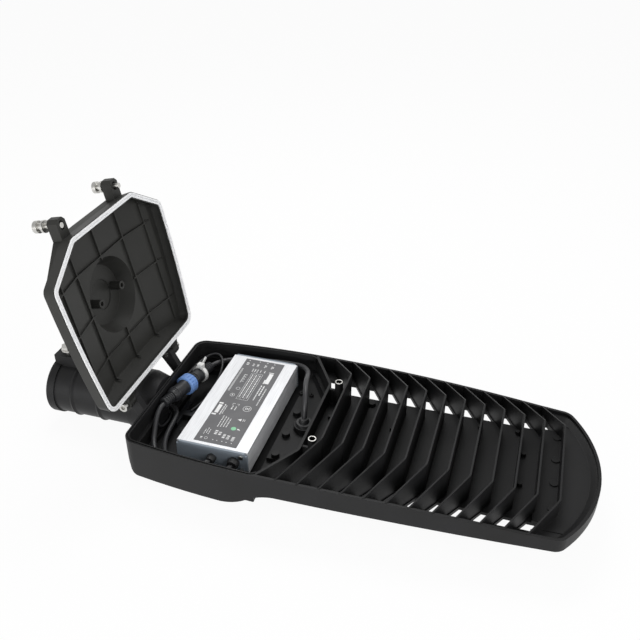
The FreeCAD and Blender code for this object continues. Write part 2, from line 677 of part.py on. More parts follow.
def base_posts():
    """Round posts on the base plate between the fins and behind the nose."""
    low = s.floor_top - 1
    top = s.floor_top + s.post_height
    posts = []
    for row in range(4):
        y = s.nose_post_start - s.nose_post_spacing * row
        posts.append(post(s.nose_post_radius, s.nose_post_x, y, low, top))
        x = s.small_post_first + s.small_post_pitch * row
        for side in (-1, 1):
            posts.append(post(s.small_post_radius, x, side * s.small_post_y, low, top))
    for x, y in ((s.front_post_x, s.front_post_y), (s.middle_post_x, s.middle_post_y)):
        posts.append(post(s.small_post_radius, x, y, low, top))
    posts.append(post(s.nose_post_radius, s.rear_post_x, s.rear_post_y, low, top))
    return posts


def compartment_posts():
    """Posts of the raised floor, the floor gland's boss and the driver's supports."""
    low = s.platform_top - 1
    posts = []
    for y in (s.floor_post_far_y, s.floor_post_middle_y, s.floor_post_near_y):
        posts.append(post(s.nose_post_radius, s.floor_post_x, y, low, s.floor_post_top))
    for x, y in ((s.small_boss_rear_x, s.small_boss_far_y), (s.small_boss_middle_x, s.small_boss_far_y),
                 (s.small_boss_front_x, s.small_boss_near_y)):
        boss = post(s.small_post_radius, x, y, low, s.small_boss_top)
        posts.append(boss.cut(post(s.small_boss_hole, x, y, low + 1, HIGH)))
    posts.append(post(s.gland_boss_radius, s.gland_x, s.gland_y, low, s.gland_boss_top))
    driver_bottom = s.driver_top - s.driver_height
    for x, y in tab_places():
        posts.append(post(s.support_radius, x, y, -s.belly_depth + 1, driver_bottom))
    posts.append(post(s.nose_post_radius, s.bracket_post_x, s.bracket_post_y,
                      -s.belly_depth + 1, s.bracket_top))
    return posts


def tab_places():
    """Screw places of the driver's four mounting tabs."""
    reach = s.driver_length / 2 + s.driver_end + s.driver_tab / 2
    places = []
    for side in (-1, 1):
        for share in (0.22, 0.78):
            x = s.driver_rear + share * s.driver_width
            places.append((x, s.driver_centre_y + side * reach))
    return places


def lens_screw_places(row):
    """Corners of one light module where its screws go."""
    low_x = front_x + s.module_start + row * (s.module_length + s.module_gap) + s.lens_screw_inset
    high_x = low_x + s.module_length - 2 * s.lens_screw_inset
    y = s.module_half_width - s.lens_screw_inset
    return [(low_x, -y), (high_x, -y), (low_x, y), (high_x, y)]


def lid_screw_bosses():
    """Tall bosses for the lid screws, tied to the compartment's front wall by webs."""
    x = front_x + s.lid_screw_setback
    bosses = []
    for side in (-1, 1):
        y = side * s.lid_screw_y
        boss = post(s.lid_boss_radius, x, y, 1, s.lid_boss_top)
        web = block((front_x - s.wall / 2, y - s.boss_web / 2, 1), (x, y + s.boss_web / 2, s.rim_height - 1))
        bosses.append(boss.fuse(web))
    return bosses


def lid_screw_holes():
    x = front_x + s.lid_screw_setback
    low = s.lid_boss_top - s.lid_screw_length / 2
    return [post(s.lid_screw_radius, x, side * s.lid_screw_y, low, HIGH) for side in (-1, 1)]


def hub():
    """Hub for the pole socket, tapering into the belly."""
    start = s.body_rear - s.hub_length
    along = Vector(1, 0, 0)
    drum = Part.makeCylinder(s.hub_radius, s.hub_length + s.wall, Vector(start, 0, 0), along)
    shoulder = s.body_rear - s.hub_shoulder
    neck = Part.makeCone(s.hub_radius, s.hub_neck, s.hub_shoulder, Vector(shoulder, 0, 0), along)
    above = block((shoulder, -HIGH, 0), (HIGH, HIGH, HIGH))
    drum = drum.cut(above).fuse(neck.common(block((0, -HIGH, 0), (s.body_rear - s.hub_gap, HIGH, HIGH))))
    root = Part.makeCylinder(s.hub_neck, s.hub_shoulder, Vector(shoulder, 0, 0), along)
    drum = drum.fuse(root.common(block((0, -HIGH, 0), (HIGH, HIGH, s.rim_height - s.wall))))
    taper = Part.makeCone(
        s.hub_radius, s.belly_depth, s.hub_taper, Vector(s.body_rear, 0, 0), along
    )
    below = block((0, -HIGH, -HIGH), (HIGH * 2, HIGH, 0))
    return drum.fuse(taper.common(below))


def hub_bores():
    """Bore for the spigot, the rear gland's hole and the grub screws' holes."""
    start = s.body_rear - s.hub_length
    along = Vector(1, 0, 0)
    bore = Part.makeCylinder(s.hub_bore, s.hub_length - s.wall, Vector(start, 0, 0), along)
    gland = Part.makeCylinder(
        s.rear_hole, s.hub_length + 4 * s.wall, Vector(start, 0, s.rear_hole_z), along
    )
    return [bore, gland] + grub_screw_bars(s.hub_radius + 1)


def grub_screw_bars(reach):
    """Radial bars at the hub's grub screws, out to the given radius."""
    x = s.body_rear - s.hub_length + s.spigot_length / 2
    bars = []
    for step in range(4):
        angle = math.radians(45 + 90 * step)
        out = Vector(0, math.cos(angle), math.sin(angle))
        start = Vector(x, 0, 0) + out * (s.hub_bore - s.wall)
        bars.append(Part.makeCylinder(s.grub_radius, reach - s.hub_bore + s.wall, start, out))
    return bars


def barrel(radius, low_y, high_y):
    """Round bar on the hinge axis."""
    return bar(radius, hinge_x, hinge_z, low_y, high_y)


def hinge_ears():
    """Arms that rise from the rear wall and carry the hinge screws."""
    reach = s.hinge_ear_radius * math.sqrt(0.5)
    half = s.hinge_ear_width / 2
    outline = [
        (s.body_rear + 1, s.floor_top / 2), (s.body_rear + 1, s.rim_height - 1),
        (hinge_x + reach, hinge_z + reach), (hinge_x - reach, hinge_z - reach),
    ]
    ears = []
    for side in (-1, 1):
        low = side * s.hinge_ear_y - half
        high = side * s.hinge_ear_y + half
        ear = side_slab(outline, low, high).fuse(barrel(s.hinge_ear_radius, low, high))
        ears.append(ear.cut(barrel(s.hinge_pin_radius, low - 1, high + 1)))
    return ears


def housing():
    """The whole casting."""
    solid = shell().fuse(hub())
    solid = solid.cut([gear_space()] + hub_bores())
    solid = solid.fuse([rim_flange()]).cut(rim_groove())
    inside = prism(inset(body_plan, s.wall / 4), 0, HIGH)
    fins = [fin(index).common(inside) for index in range(fin_count)]
    windows = [window(index, side) for index in range(-1, fin_count) for side in (-1, 1)]
    solid = solid.cut(windows)
    for group in (fins, base_posts(), compartment_posts(), lid_screw_bosses(), hinge_ears()):
        solid = solid.fuse(group)
    gland_hole = post(s.grommet_hole, s.gland_x, s.gland_y, s.platform_top - s.wall / 2, HIGH)
    low = s.driver_top - s.driver_height - 4
    tab_holes = [post(s.tab_screw_radius, x, y, low, 0) for x, y in tab_places()]
    lens_holes = [post(s.lens_screw_radius, x, y, -1, 3)
                  for x, y in lens_screw_places(0) + lens_screw_places(1)]
    for hole in lid_screw_holes() + [gland_hole] + tab_holes + lens_holes:
        solid = solid.cut(hole)
    return solid.Solids[0]


def feature(name, shape):
    """Object of the document that holds a shape built from the sheet's values."""
    item = doc.addObject("Part::Feature", name)
    item.Label = name
    item.Shape = shape
    return item


nodes = []
nodes.append(feature("main_housing", housing()))


# Lid: drawn shut and then turned open about the hinge

def lid_form(skin):
    """Solid lid drawn in by a skin on every side: drafted walls, sloping roof and dish."""
    low = lid_base + s.lid_edge
    side_top = lid_base + s.lid_side_height - skin
    crown = s.rim_height + s.lid_crown - skin
    foot = inset(gear_plan, max(skin, 0.01))
    shoulder = inset(gear_plan, skin + s.lid_draft)
    walls = Part.makeLoft([
        foot.OuterWire.translated(Vector(0, 0, low)),
        shoulder.OuterWire.translated(Vector(0, 0, side_top)),
    ], True, True)
    roof = prism(shoulder, side_top, crown)
    edge = s.widest_half_width
    eave = s.rear_half_width - s.lid_draft
    fall = (crown - side_top) / (eave - s.lid_flat) * (edge - eave)
    across = cross_slab([
        (-edge, -HIGH), (edge, -HIGH), (edge, side_top - fall), (s.lid_flat, crown),
        (-s.lid_flat, crown), (-edge, side_top - fall),
    ], 0, HIGH * 2)
    rear = s.body_rear + skin
    along = side_slab([
        (rear, -HIGH), (rear, low), (rear + s.lid_rear_slope, crown),
        (HIGH * 2, crown), (HIGH * 2, -HIGH),
    ], -HIGH, HIGH)
    form = walls.fuse(roof.common(across)).common(along).common(prism(gear_plan, 0, HIGH))
    dish = Part.makeCone(
        s.dish_radius + s.dish_skin - skin, s.dish_floor_radius + s.dish_skin - skin,
        s.dish_depth, Vector(widest_x - s.dish_centre, 0, crown - 0.01)
    )
    return form.fuse(dish).removeSplitter()


def lid_ribs():
    """Lengthwise and cross ribs under the roof, kept out of the dish."""
    layer = lid_form(s.lid_wall * 0.6).cut(lid_form(s.lid_wall + s.lid_rib_height))
    half = s.lid_rib_thickness / 2
    roof_start = s.body_rear + s.lid_rear_slope + s.lid_wall
    slabs = []
    for y in (-1.8 * s.lid_rib_pitch, -s.lid_rib_pitch, 0, s.lid_rib_pitch, 1.8 * s.lid_rib_pitch):
        slabs.append(block((roof_start, y - half, 0), (front_x, y + half, HIGH)))
    for row in range(3):
        x = widest_x - s.lid_cross_first - s.lid_cross_pitch * row
        slabs.append(block((x - half, -HIGH, 0), (x + half, HIGH, HIGH)))
    dish = post(s.dish_radius, widest_x - s.dish_centre, 0, 0, HIGH)
    low = s.rim_height + s.lid_crown / 2
    return [layer.common(slab).cut(dish).common(prism(gear_plan, low, HIGH)) for slab in slabs]


def rib_posts():
    """Small posts at the ends of the first two cross ribs."""
    low = lid_base + s.lid_side_height - s.rib_post_height
    within = lid_form(s.lid_wall * 0.6)
    places = [widest_x - s.lid_cross_first - s.lid_cross_pitch * row for row in range(2)]
    return [post(s.rib_post_radius, x, side * s.rib_post_y, low, HIGH).common(within)
            for side in (-1, 1) for x in places]


def knuckle(side):
    """Ribbed hinge knuckle with the arm that carries the lid."""
    inner = s.hinge_ear_y + s.hinge_ear_width / 2 + s.hinge_side_gap
    low, high = sorted((side * inner, side * (inner + s.hinge_knuckle_width)))
    reach = s.hinge_ear_radius * math.sqrt(0.5)
    wall_x = s.body_rear + s.lid_rear_slope + s.lid_wall
    outline = [
        (wall_x, lid_base + 2 * s.lid_edge), (wall_x, lid_base + s.lid_side_height),
        (hinge_x + reach / 2, hinge_z + reach * 1.2), (hinge_x - reach, hinge_z - reach),
    ]
    solid = side_slab(outline, low, high).fuse(barrel(s.hinge_ear_radius, low, high))
    for step in (-1, 0, 1):
        y = (low + high) / 2 + step * 3 * s.rib_groove
        ring = barrel(s.hinge_ear_radius + 1, y - s.rib_groove / 2, y + s.rib_groove / 2)
        ring = ring.cut(barrel(s.hinge_ear_radius - s.rib_groove, y - s.rib_groove, y + s.rib_groove))
        behind = block((0, low - 1, 0), (hinge_x, high + 1, HIGH))
        solid = solid.cut(ring.common(behind))
    return solid.cut(barrel(s.hinge_pin_radius + s.hinge_pin_gap, low - 1, high + 1))


def lug(side):
    """Lug over a housing boss, with chamfered corners and a slot for the lid screw."""
    x = front_x + s.lid_screw_setback
    y = side * s.lid_screw_y
    half = s.lug_width / 2
    low = s.rim_height + s.lug_bottom
    tip = front_x + s.lug_reach
    cut = s.lug_width / 4
    plan = [
        (front_x - s.lid_draft - s.lid_wall, y - half, 0), (tip - cut, y - half, 0),
        (tip, y - half + cut, 0), (tip, y + half - cut, 0), (tip - cut, y + half, 0),
        (front_x - s.lid_draft - s.lid_wall, y + half, 0),
    ]
    solid = prism(polygon(plan), low, low + s.lug_height)
    return solid.cut(slot(x, y, s.lug_slot, s.lid_screw_radius))


def slot(x, y, reach, radius):
    """Upright slotted bar, long in X."""
    ends = [post(radius, x + end, y, 0, HIGH) for end in (-reach, reach)]
    return block((x - reach, y - radius, 0), (x + reach, y + radius, HIGH)).fuse(ends)


def gasket_ring(low, high, grow=0.0):
    outer = prism(inset(gear_plan, s.gasket_inset - grow), low, high)
    return outer.cut(prism(inset(gear_plan, s.gasket_inset + s.gasket_width + grow), 0, HIGH))


def lid_gasket():
    """Flat silicone seal with a groove along its middle."""
    middle = s.gasket_inset + s.gasket_width / 2
    channel = prism(inset(gear_plan, middle - s.gasket_groove / 2), 0, lid_base + s.gasket_height / 3)
    channel = channel.cut(prism(inset(gear_plan, middle + s.gasket_groove / 2), 0, HIGH))
    return gasket_ring(lid_base, lid_base + s.gasket_height).cut(channel)


def lid():
    """The whole lid casting, shut."""
    solid = lid_form(0).cut(lid_form(s.lid_wall))
    flange_top = lid_base + s.gasket_height + s.lid_edge
    flange = prism(inset(gear_plan, s.lid_wall / 2), lid_base + s.lid_edge, flange_top)
    flange = flange.cut(prism(inset(gear_plan, s.lid_flange), 0, HIGH))
    crown = s.rim_height + s.lid_crown
    posts = []
    dish_x = widest_x - s.dish_centre
    dish_floor = crown - s.lid_wall + s.dish_depth
    solid = solid.cut(post(s.dish_step_radius, dish_x, 0, crown, dish_floor + s.dish_step_depth))
    for side in (-1, 1):
        posts.append(post(s.dish_post_radius, dish_x, side * s.dish_post_y,
                          dish_floor - s.dish_post_height, dish_floor + s.lid_wall / 2))
    solid = solid.fuse([flange] + lid_ribs() + rib_posts() + posts)
    holes = [post(s.dish_post_radius / 2, dish_x, side * s.dish_post_y, 0, crown + 2 * s.lid_wall)
             for side in (-1, 1)]
    arms = [knuckle(side).cut(lid_form(s.lid_wall)) for side in (-1, 1)]
    solid = solid.fuse(arms + [lug(side) for side in (-1, 1)])
    return solid.cut(holes + [gasket_ring(0, lid_base + s.gasket_height)])


def lid_screw(side, lift):
    """Captive thumb screw: two flanges with a neck and a hexagon socket, on a long shank."""
    x = front_x + s.lid_screw_setback
    y = side * s.lid_screw_y
    low = s.rim_height + s.lug_bottom + s.lug_height + lift
    top = low + s.lid_screw_head
    flange = s.lid_screw_flange
    solid = post(s.lid_screw_radius, x, y, low - s.lid_screw_length, low + s.piece_overlap)
    solid = solid.fuse([
        post(flange, x, y, low, low + s.lid_screw_collar),
        post(s.lid_screw_neck, x, y, low + s.lid_screw_collar - s.piece_overlap,
             top - s.lid_screw_cap + s.piece_overlap),
        post(flange, x, y, top - s.lid_screw_cap, top),
    ])
    corners = [math.radians(60 * corner) for corner in range(7)]
    socket = Part.makePolygon([
        Vector(x + s.lid_screw_key * math.cos(angle), y + s.lid_screw_key * math.sin(angle),
               top - s.lid_screw_key_depth)
        for angle in corners
    ])
    return solid.cut(Part.Face(socket).extrude(Vector(0, 0, 2 * s.lid_screw_key_depth)))


def opened(shape):
    """The shape turned from shut to open about the hinge."""
    turned = shape.copy()
    turned.rotate(Vector(hinge_x, 0, hinge_z), Vector(0, 1, 0), -s.lid_angle)
    return turned


nodes.append(feature("lid_cover", opened(lid())))
nodes.append(feature("lid_gasket", opened(lid_gasket())))
nodes.append(feature("lid_screw_near", opened(lid_screw(-1, s.near_screw_lift))))
nodes.append(feature("lid_screw_far", opened(lid_screw(1, s.far_screw_lift))))


# Round pieces revolved about an axis

def lathe(profile, base, axis):
    """Solid turned about an axis; the profile holds a distance along it and a radius."""
    low = profile[0][0]
    high = profile[-1][0]
    corners = [(low, 0)] + list(profile) + [(high, 0)]
    corners = [spot for place_, spot in enumerate(corners) if spot not in corners[:place_]]
    face = polygon([(along, radius, 0) for along, radius in corners])
    solid = face.revolve(Vector(0, 0, 0), Vector(1, 0, 0), 360)
    solid.Placement = Placement(base, Rotation(Vector(1, 0, 0), axis))
    return Part.Solid(solid.Shells[0]) if solid.ShapeType != "Solid" else solid


def ridges(low, high, inner, outer, count):
    """Profile of evenly spaced ridges."""
    profile = []
    pitch = (high - low) / count
    for step in range(count):
        start = low + step * pitch
        profile += [(start, inner), (start + pitch * 0.3, outer), (start + pitch * 0.7, outer)]
    profile.append((high, inner))
    return profile


# Bodies drawn as bound sketches

def new_body(name):
    body = doc.addObject("PartDesign::Body", name)
    body.Label = name
    return body


def outline_sketch(body, role, corners):
    """Closed outline on one of the body's own planes, each corner tied to its formulas."""
    sketch = body.newObject("Sketcher::SketchObject", f"{body.Label}_outline")
    plane = next(item for item in body.Origin.OriginFeatures if item.Role == role)
    sketch.AttachmentSupport = [(plane, "")]
    sketch.MapMode = "FlatFace"
    spots = [Vector(number(x), number(y), 0) for x, y in corners]
    for start, end in zip(spots, spots[1:] + spots[:1]):
        sketch.addGeometry(Part.LineSegment(start, end), False)
    for index in range(len(corners)):
        after = (index + 1) % len(corners)
        sketch.addConstraint(Sketcher.Constraint("Coincident", index, 2, after, 1))
    for index, corner in enumerate(corners):
        for kind, value, axis in (("DistanceX", corner[0], -2), ("DistanceY", corner[1], -1)):
            if number(value) == 0:
                sketch.addConstraint(Sketcher.Constraint("PointOnObject", index, 1, axis))
            else:
                spot = sketch.addConstraint(
                    Sketcher.Constraint(kind, -1, 1, index, 1, number(value))
                )
                sketch.setExpression(f"Constraints[{spot}]", formula(value))
    return sketch


def turned_body(name, corners):
    """Body turned about X from an outline of distances along X and radii."""
    body = new_body(name)
    sketch = outline_sketch(body, "XZ_Plane", corners)
    turning = body.newObject("PartDesign::Revolution", f"{name}_turning")
    turning.Profile = sketch
    turning.ReferenceAxis = (sketch, ["H_Axis"])
    turning.Angle = 360
    body.Tip = turning
    doc.recompute()
    return body


def cylinder(name, radius, height, x, y, z, along="Z"):
    item = doc.addObject("Part::Cylinder", name)
    bind(item, Radius=radius, Height=height)
    place(item, x, y, z)
    if along == "X":
        item.Placement.Rotation = Rotation(Vector(0, 1, 0), 90)
    if along == "Y":
        item.Placement.Rotation = Rotation(Vector(1, 0, 0), -90)
    return item


def box(name, length, width, height, x, y, z):
    item = doc.addObject("Part::Box", name)
    bind(item, Length=length, Width=width, Height=height)
    place(item, x, y, z)
    return item


def joined(name, items):
    item = doc.addObject("Part::MultiFuse", name)
    item.Shapes = items
    item.Label = name
    return item


def less(name, base, tools):
    tool = tools[0] if len(tools) == 1 else joined(f"{name}_tools", tools)
    item = doc.addObject("Part::Cut", name)
    item.Base = base
    item.Tool = tool
    item.Label = name
    return item


# Pole socket with its beads, collar, spigot and screw pads

SOCKET_END = b.body_rear - b.hub_length
pole_tube = turned_body("pole_tube", [
    (Length(0.0, "0"), b.socket_bore / 2),
    (0, b.socket_radius + b.socket_bead),
    (b.socket_collar, b.socket_radius + b.socket_bead),
    (b.socket_collar, b.socket_radius),
    (b.bead_first - b.bead_width / 2, b.socket_radius),
    (b.bead_first, b.socket_radius + b.socket_bead),
    (b.bead_first + b.bead_width / 2, b.socket_radius),
    (b.bead_second - b.bead_width / 2, b.socket_radius),
    (b.bead_second, b.socket_radius + b.socket_bead),
    (b.bead_second + b.bead_width / 2, b.socket_radius),
    (SOCKET_END - b.wall * 2, b.socket_radius),
    (SOCKET_END - b.wall * 2, b.hub_radius),
    (SOCKET_END, b.hub_radius),
    (SOCKET_END, b.hub_bore),
    (SOCKET_END + b.spigot_length, b.hub_bore),
    (SOCKET_END + b.spigot_length, b.cable_way / 2),
    (b.socket_depth, b.cable_way / 2),
    (b.socket_depth, b.socket_bore / 2),
])
pad_length = b.set_screw_first + b.set_screw_pitch + b.pad_half_width - b.pad_start
screw_pad = box("screw_pad", pad_length, b.pad_half_width * 2, b.pad_top - b.wall,
                b.pad_start, b.pad_half_width * -1, b.wall)
pad_holes = [cylinder("pole_bore", b.socket_bore / 2, b.socket_depth, 0, 0, 0, "X")]
for row in range(2):
    spot = b.set_screw_first + b.set_screw_pitch * row
    pad_holes.append(cylinder(f"pad_hole_{row + 1}", b.set_screw_radius, b.pad_top, spot, 0, b.wall))
for row, bar_shape in enumerate(grub_screw_bars(s.hub_radius)):
    pad_holes.append(feature(f"spigot_hole_{row + 1}", bar_shape))
padded_tube = joined("padded_tube", [pole_tube, screw_pad])
nodes.append(less("pole_socket", padded_tube, pad_holes))


def hexagon(x, y, radius, low, high):
    """Hexagonal bar, the radius reaching its corners."""
    spots = []
    for step in range(6):
        angle = math.radians(60 * step)
        spots.append((x + radius * math.cos(angle), y + radius * math.sin(angle), 0))
    return prism(polygon(spots), low, high)


set_screws = []
for row in range(2):
    x = s.set_screw_first + s.set_screw_pitch * row
    shank = post(s.set_screw_radius, x, 0, s.socket_bore / 2 + s.wall / 4, s.set_screw_top)
    collar = post(s.set_screw_head * 1.2, x, 0, s.set_screw_top, s.set_screw_top + 1.5)
    head = hexagon(x, 0, s.set_screw_head * 1.15, s.set_screw_top, s.set_screw_top + s.set_screw_head_height)
    set_screws.append(shank.fuse([collar, head]))
nodes.append(feature("pole_set_screws", Part.makeCompound(set_screws)))
nodes.append(feature("socket_screws", Part.makeCompound(grub_screw_bars(s.hub_radius - s.wall / 4))))

grommet_start = s.body_rear - s.wall - s.grommet_lip
grommet_drop = (s.floor_top - s.rear_hole_z) / (s.floor_top - s.heel_radius + s.belly_depth)
grommet_end = s.body_rear + s.wall + s.rear_lean * grommet_drop
rear_grommet = lathe([
    (grommet_start, s.rear_hole + s.grommet_lip),
    (grommet_start + s.grommet_lip, s.rear_hole + s.grommet_lip),
    (grommet_start + s.grommet_lip, s.rear_hole), (grommet_end, s.rear_hole),
], Vector(0, 0, s.rear_hole_z), Vector(1, 0, 0))
rear_grommet = rear_grommet.cut(Part.makeCylinder(
    s.rear_hole - s.grommet_lip, HIGH, Vector(0, 0, s.rear_hole_z), Vector(1, 0, 0)))
nodes.append(feature("rear_grommet", rear_grommet))


# Hinge screws, one each side, through a knuckle into an ear

hinge_screws = []
for side in (-1, 1):
    ear = s.hinge_ear_y - s.hinge_ear_width / 2
    seat = s.hinge_ear_y + s.hinge_ear_width / 2 + 2 * s.hinge_side_gap + s.hinge_knuckle_width
    low, high = sorted((side * ear, side * (seat + 1)))
    shank = barrel(s.hinge_pin_radius, low, high)
    low, high = sorted((side * seat, side * (seat + s.hinge_head_height)))
    head = barrel(s.hinge_head_radius, low, high)
    outer = side * (seat + s.hinge_head_height)
    corners = []
    for step in range(6):
        angle = math.radians(60 * step)
        corners.append((hinge_x + s.hinge_socket * math.cos(angle), outer,
                        hinge_z + s.hinge_socket * math.sin(angle)))
    recess = polygon(corners).extrude(Vector(0, -side * s.hinge_head_height / 2, 0))
    hinge_screws.append(shank.fuse(head).cut(recess))
nodes.append(feature("hinge_screws", Part.makeCompound(hinge_screws)))


# Driver: grooved case, end plates, screws, label and bushes

def end_screw_places():
    """Screws of an end plate: both lower corners and the upper corner beside the output."""
    bottom = s.driver_top - s.driver_height
    left = s.driver_rear + s.end_screw_inset
    right = s.driver_rear + s.driver_width - s.end_screw_inset
    low = bottom + s.end_screw_low
    return [(left, low), (right, low), (right, s.driver_top - s.end_screw_high)]


DRIVER_BOTTOM = b.driver_top - b.driver_height
driver_blank = box("driver_blank", b.driver_width, b.driver_length, b.driver_height,
                   b.driver_rear, DRIVER_NEAR, DRIVER_BOTTOM)
grooves = []
for row in range(6):
    drop = b.driver_top - b.groove_first - b.groove_pitch * row
    for side, edge in enumerate((b.driver_rear, b.driver_rear + b.driver_width - b.groove_depth)):
        grooves.append(box(f"side_groove_{side}_{row}", b.groove_depth, b.driver_length,
                           b.groove_width, edge, DRIVER_NEAR, drop))
for row, (x, z) in enumerate(end_screw_places()):
    for side in (-1, 1):
        face = s.driver_centre_y + side * s.driver_length / 2
        low, high = sorted((face + side, face - side * 6))
        grooves.append(feature(f"end_hole_{row}_{side + 1}", bar(s.end_screw_radius, x, z, low, high)))
nodes.append(less("driver_case", driver_blank, grooves))

label_x = b.driver_rear + b.label_offset
nodes.append(box("driver_label", b.label_width, b.label_length, b.label_thickness,
                 label_x, b.driver_centre_y - b.label_length / 2, b.driver_top))

end_screws = []
tab_screws = []
for name, side in (("driver_end_plate_near", -1), ("driver_end_plate_far", 1)):
    face_y = s.driver_centre_y + side * s.driver_length / 2
    outer_y = face_y + side * s.driver_end
    low_y, high_y = sorted((face_y, outer_y))
    right = s.driver_rear + s.driver_width
    bottom = s.driver_top - s.driver_height
    notch = s.end_notch
    plate = side_slab([
        (s.driver_rear, bottom), (s.driver_rear, s.driver_top - notch),
        (s.driver_rear + notch, s.driver_top - notch), (s.driver_rear + notch, s.driver_top),
        (right - notch, s.driver_top), (right - notch, s.driver_top - notch),
        (right, s.driver_top - notch), (right, bottom),
    ], low_y, high_y)
    holes = []
    if side < 0:
        holes.append(bar(s.input_bush_radius - 1, s.input_bush_x, s.bush_z, low_y - 1, high_y + 1))
        holes.append(bar(s.output_bush_radius - 1, s.output_bush_x, s.bush_z, low_y - 1, high_y + 1))
    tab_y = outer_y + side * s.driver_tab
    tabs = []
    for x, y in tab_places():
        if y * side > 0:
            low, high = sorted((outer_y, tab_y))
            tabs.append(block((x - 6, low, bottom), (x + 6, high, bottom + s.driver_end)))
            holes.append(post(s.tab_screw_radius, x, y, bottom - 1, bottom + s.driver_end + 1))
            shank = post(s.tab_screw_radius, x, y, bottom - 4, bottom + s.driver_end + 1)
            tab_screws.append(shank.fuse(post(
                s.tab_screw_radius * 1.9, x, y, bottom + s.driver_end, bottom + s.driver_end + 2.2)))
    for x, z in end_screw_places():
        low, high = sorted((outer_y, outer_y + side * 2))
        head = bar(s.end_screw_radius * 1.9, x, z, low, high)
        low, high = sorted((face_y - side * 6, outer_y + side))
        end_screws.append(head.fuse(bar(s.end_screw_radius, x, z, low, high)))
        holes.append(bar(s.end_screw_radius, x, z, low_y - 1, high_y + 1))
    nodes.append(feature(name, plate.fuse(tabs).cut(holes)))
nodes.append(feature("driver_end_screws", Part.makeCompound(end_screws)))
nodes.append(feature("driver_mounting_screws", Part.makeCompound(tab_screws)))


# Connector on its own slanting axis: reliefs, plug, coupling ring and socket

connector_start = Vector(s.connector_near_x, s.connector_near_y, s.connector_near_z)
connector_end = Vector(s.connector_far_x, s.connector_far_y, s.connector_far_z)
connector_way = (connector_end - connector_start).normalize()
connector_length = (connector_end - connector_start).Length
ring_start = connector_length / 2 - s.ring_length / 2
ring_end = ring_start + s.ring_length
shell_end = connector_length - s.relief_length

# Cables: straight runs joined by tangent arcs

def cord(name, points, radius):
    """Round cord along the points, each corner rounded by a tangent arc."""
    spots = [Vector(*spot) for spot in points]
    edges = []
    radii = []
    start = spots[0]
    for before, corner, after in zip(spots, spots[1:], spots[2:]):
        back = before - corner
        ahead = after - corner
        turn = math.pi - back.getAngle(ahead)
        reach = 0.45 * min(back.Length, ahead.Length)
        bend = reach / math.tan(turn / 2)
        back.normalize()
        ahead.normalize()
        inward = (back + ahead).normalize()
        enter = corner + back * reach
        middle = corner + inward * (bend / math.cos(turn / 2) - bend)
        leave = corner + ahead * reach
        edges.append(Part.makeLine(start, enter))
        edges.append(Part.Arc(enter, middle, leave).toShape())
        radii.append(round(bend, 1))
        start = leave
    edges.append(Part.makeLine(start, spots[-1]))
    route = Part.Wire(edges)
    section = Part.Wire(Part.makeCircle(radius, spots[0], spots[1] - spots[0]))
    tube = route.makePipeShell([section], True, True)
    expected = math.pi * radius ** 2 * route.Length
    print(name, "length", round(route.Length, 1), "volume share", round(tube.Volume / expected, 3))
    print(name, "bend radii", radii)
    return tube


def along_connector(distance):
    spot = connector_start + connector_way * distance
    return (spot.x, spot.y, spot.z)


bush_face = s.driver_centre_y - s.driver_length / 2 - s.driver_end
INPUT_ROUTE = [
    (s.input_bush_x, bush_face + 1, s.bush_z), (236, -91, 7), (226, -97.3, 5), (209, -96.6, 1),
    (191, -90.5, -3), (177, -77.5, -5.5), (168, -59, -6.5), (163.5, -39, -7), (162, -20, -7),
    (159, -6, -5.5), (149.5, 1, -4.2), (132, 1.8, -4),
]
OUTPUT_ROUTE = [
    (s.output_bush_x, bush_face + 1, s.bush_z), (262, -92, 6), (251, -98, 1.5), (231, -98.7, -4),
    (210, -96.8, -7.5), (188, -93.5, -9), (170, -83, -8), (158.5, -68, -5), (153, -52, 2), (150, -38, 12),
    along_connector(-3), along_connector(s.relief_length - 2),
]
MODULE_ROUTE = [
    (s.gland_x, s.gland_y, s.gland_boss_top), (315, 10, 25), (311, 24, 36), (306, 42, 37),
    (302, 61, 31), (297, 79, 23), (286, 96, 17), (269, 102, 13.5), (247, 102.5, 12),
    (224, 101, 11), (205, 99, 9.5), (189, 95.5, 8.5), (177, 88, 8), along_connector(connector_length + 3),
    along_connector(connector_length - s.relief_length + 2),
]
WIRE_ROUTE = [
    (171, 5, s.bracket_top + 1.1 * s.wire_radius), (177, 21, -10), (183, 37, -5), (186, 53, 3),
    (186, 69, 10), (182, 83, 15), (173, 92.5, 16), (161.5, 93, 13), (153, 84, 9), (149, 70, 7),
    (146.5, 53, 6.5), (145.6, 36, 6.8), (145.3, 18, 7.6), (145.5, 0, 9), (145.4, -17, 9.2),
    (146.5, -32, 9.5), (151, -42, 2), (153, -36, -8), (154, -18, -10), (150.5, -4.5, -9),
    (138, -2.8, -8.5), (130, -3.2, -7.5),
]
input_cable = cord("input cable", INPUT_ROUTE, s.cable_radius)
output_cable = cord("output cable", OUTPUT_ROUTE, s.cable_radius)
module_cable = cord("module cable", MODULE_ROUTE, s.cable_radius)
thin_wire = cord("thin wire", WIRE_ROUTE, s.wire_radius)
for name, tube in (("input_cable", input_cable), ("output_cable", output_cable),
                   ("module_cable", module_cable), ("thin_wire", thin_wire)):
    nodes.append(feature(name, tube))


def bush(radius, x, cable):
    """Rubber bush: a domed flange outside the end plate and a neck in its hole."""
    face = s.driver_centre_y - s.driver_length / 2
    shape = lathe([
        (0, radius - 1), (s.driver_end, radius - 1), (s.driver_end, radius),
        (s.driver_end + 3, radius), (s.driver_end + 7, radius * 0.8),
    ], Vector(x, face, s.bush_z), Vector(0, -1, 0))
    return shape.cut(bar(s.cable_radius, x, s.bush_z, bush_face, face + 1)).cut(cable)


nodes.append(feature("driver_input_bush", bush(s.input_bush_radius, s.input_bush_x, input_cable)))
nodes.append(feature("driver_output_bush", bush(s.output_bush_radius, s.output_bush_x, output_cable)))

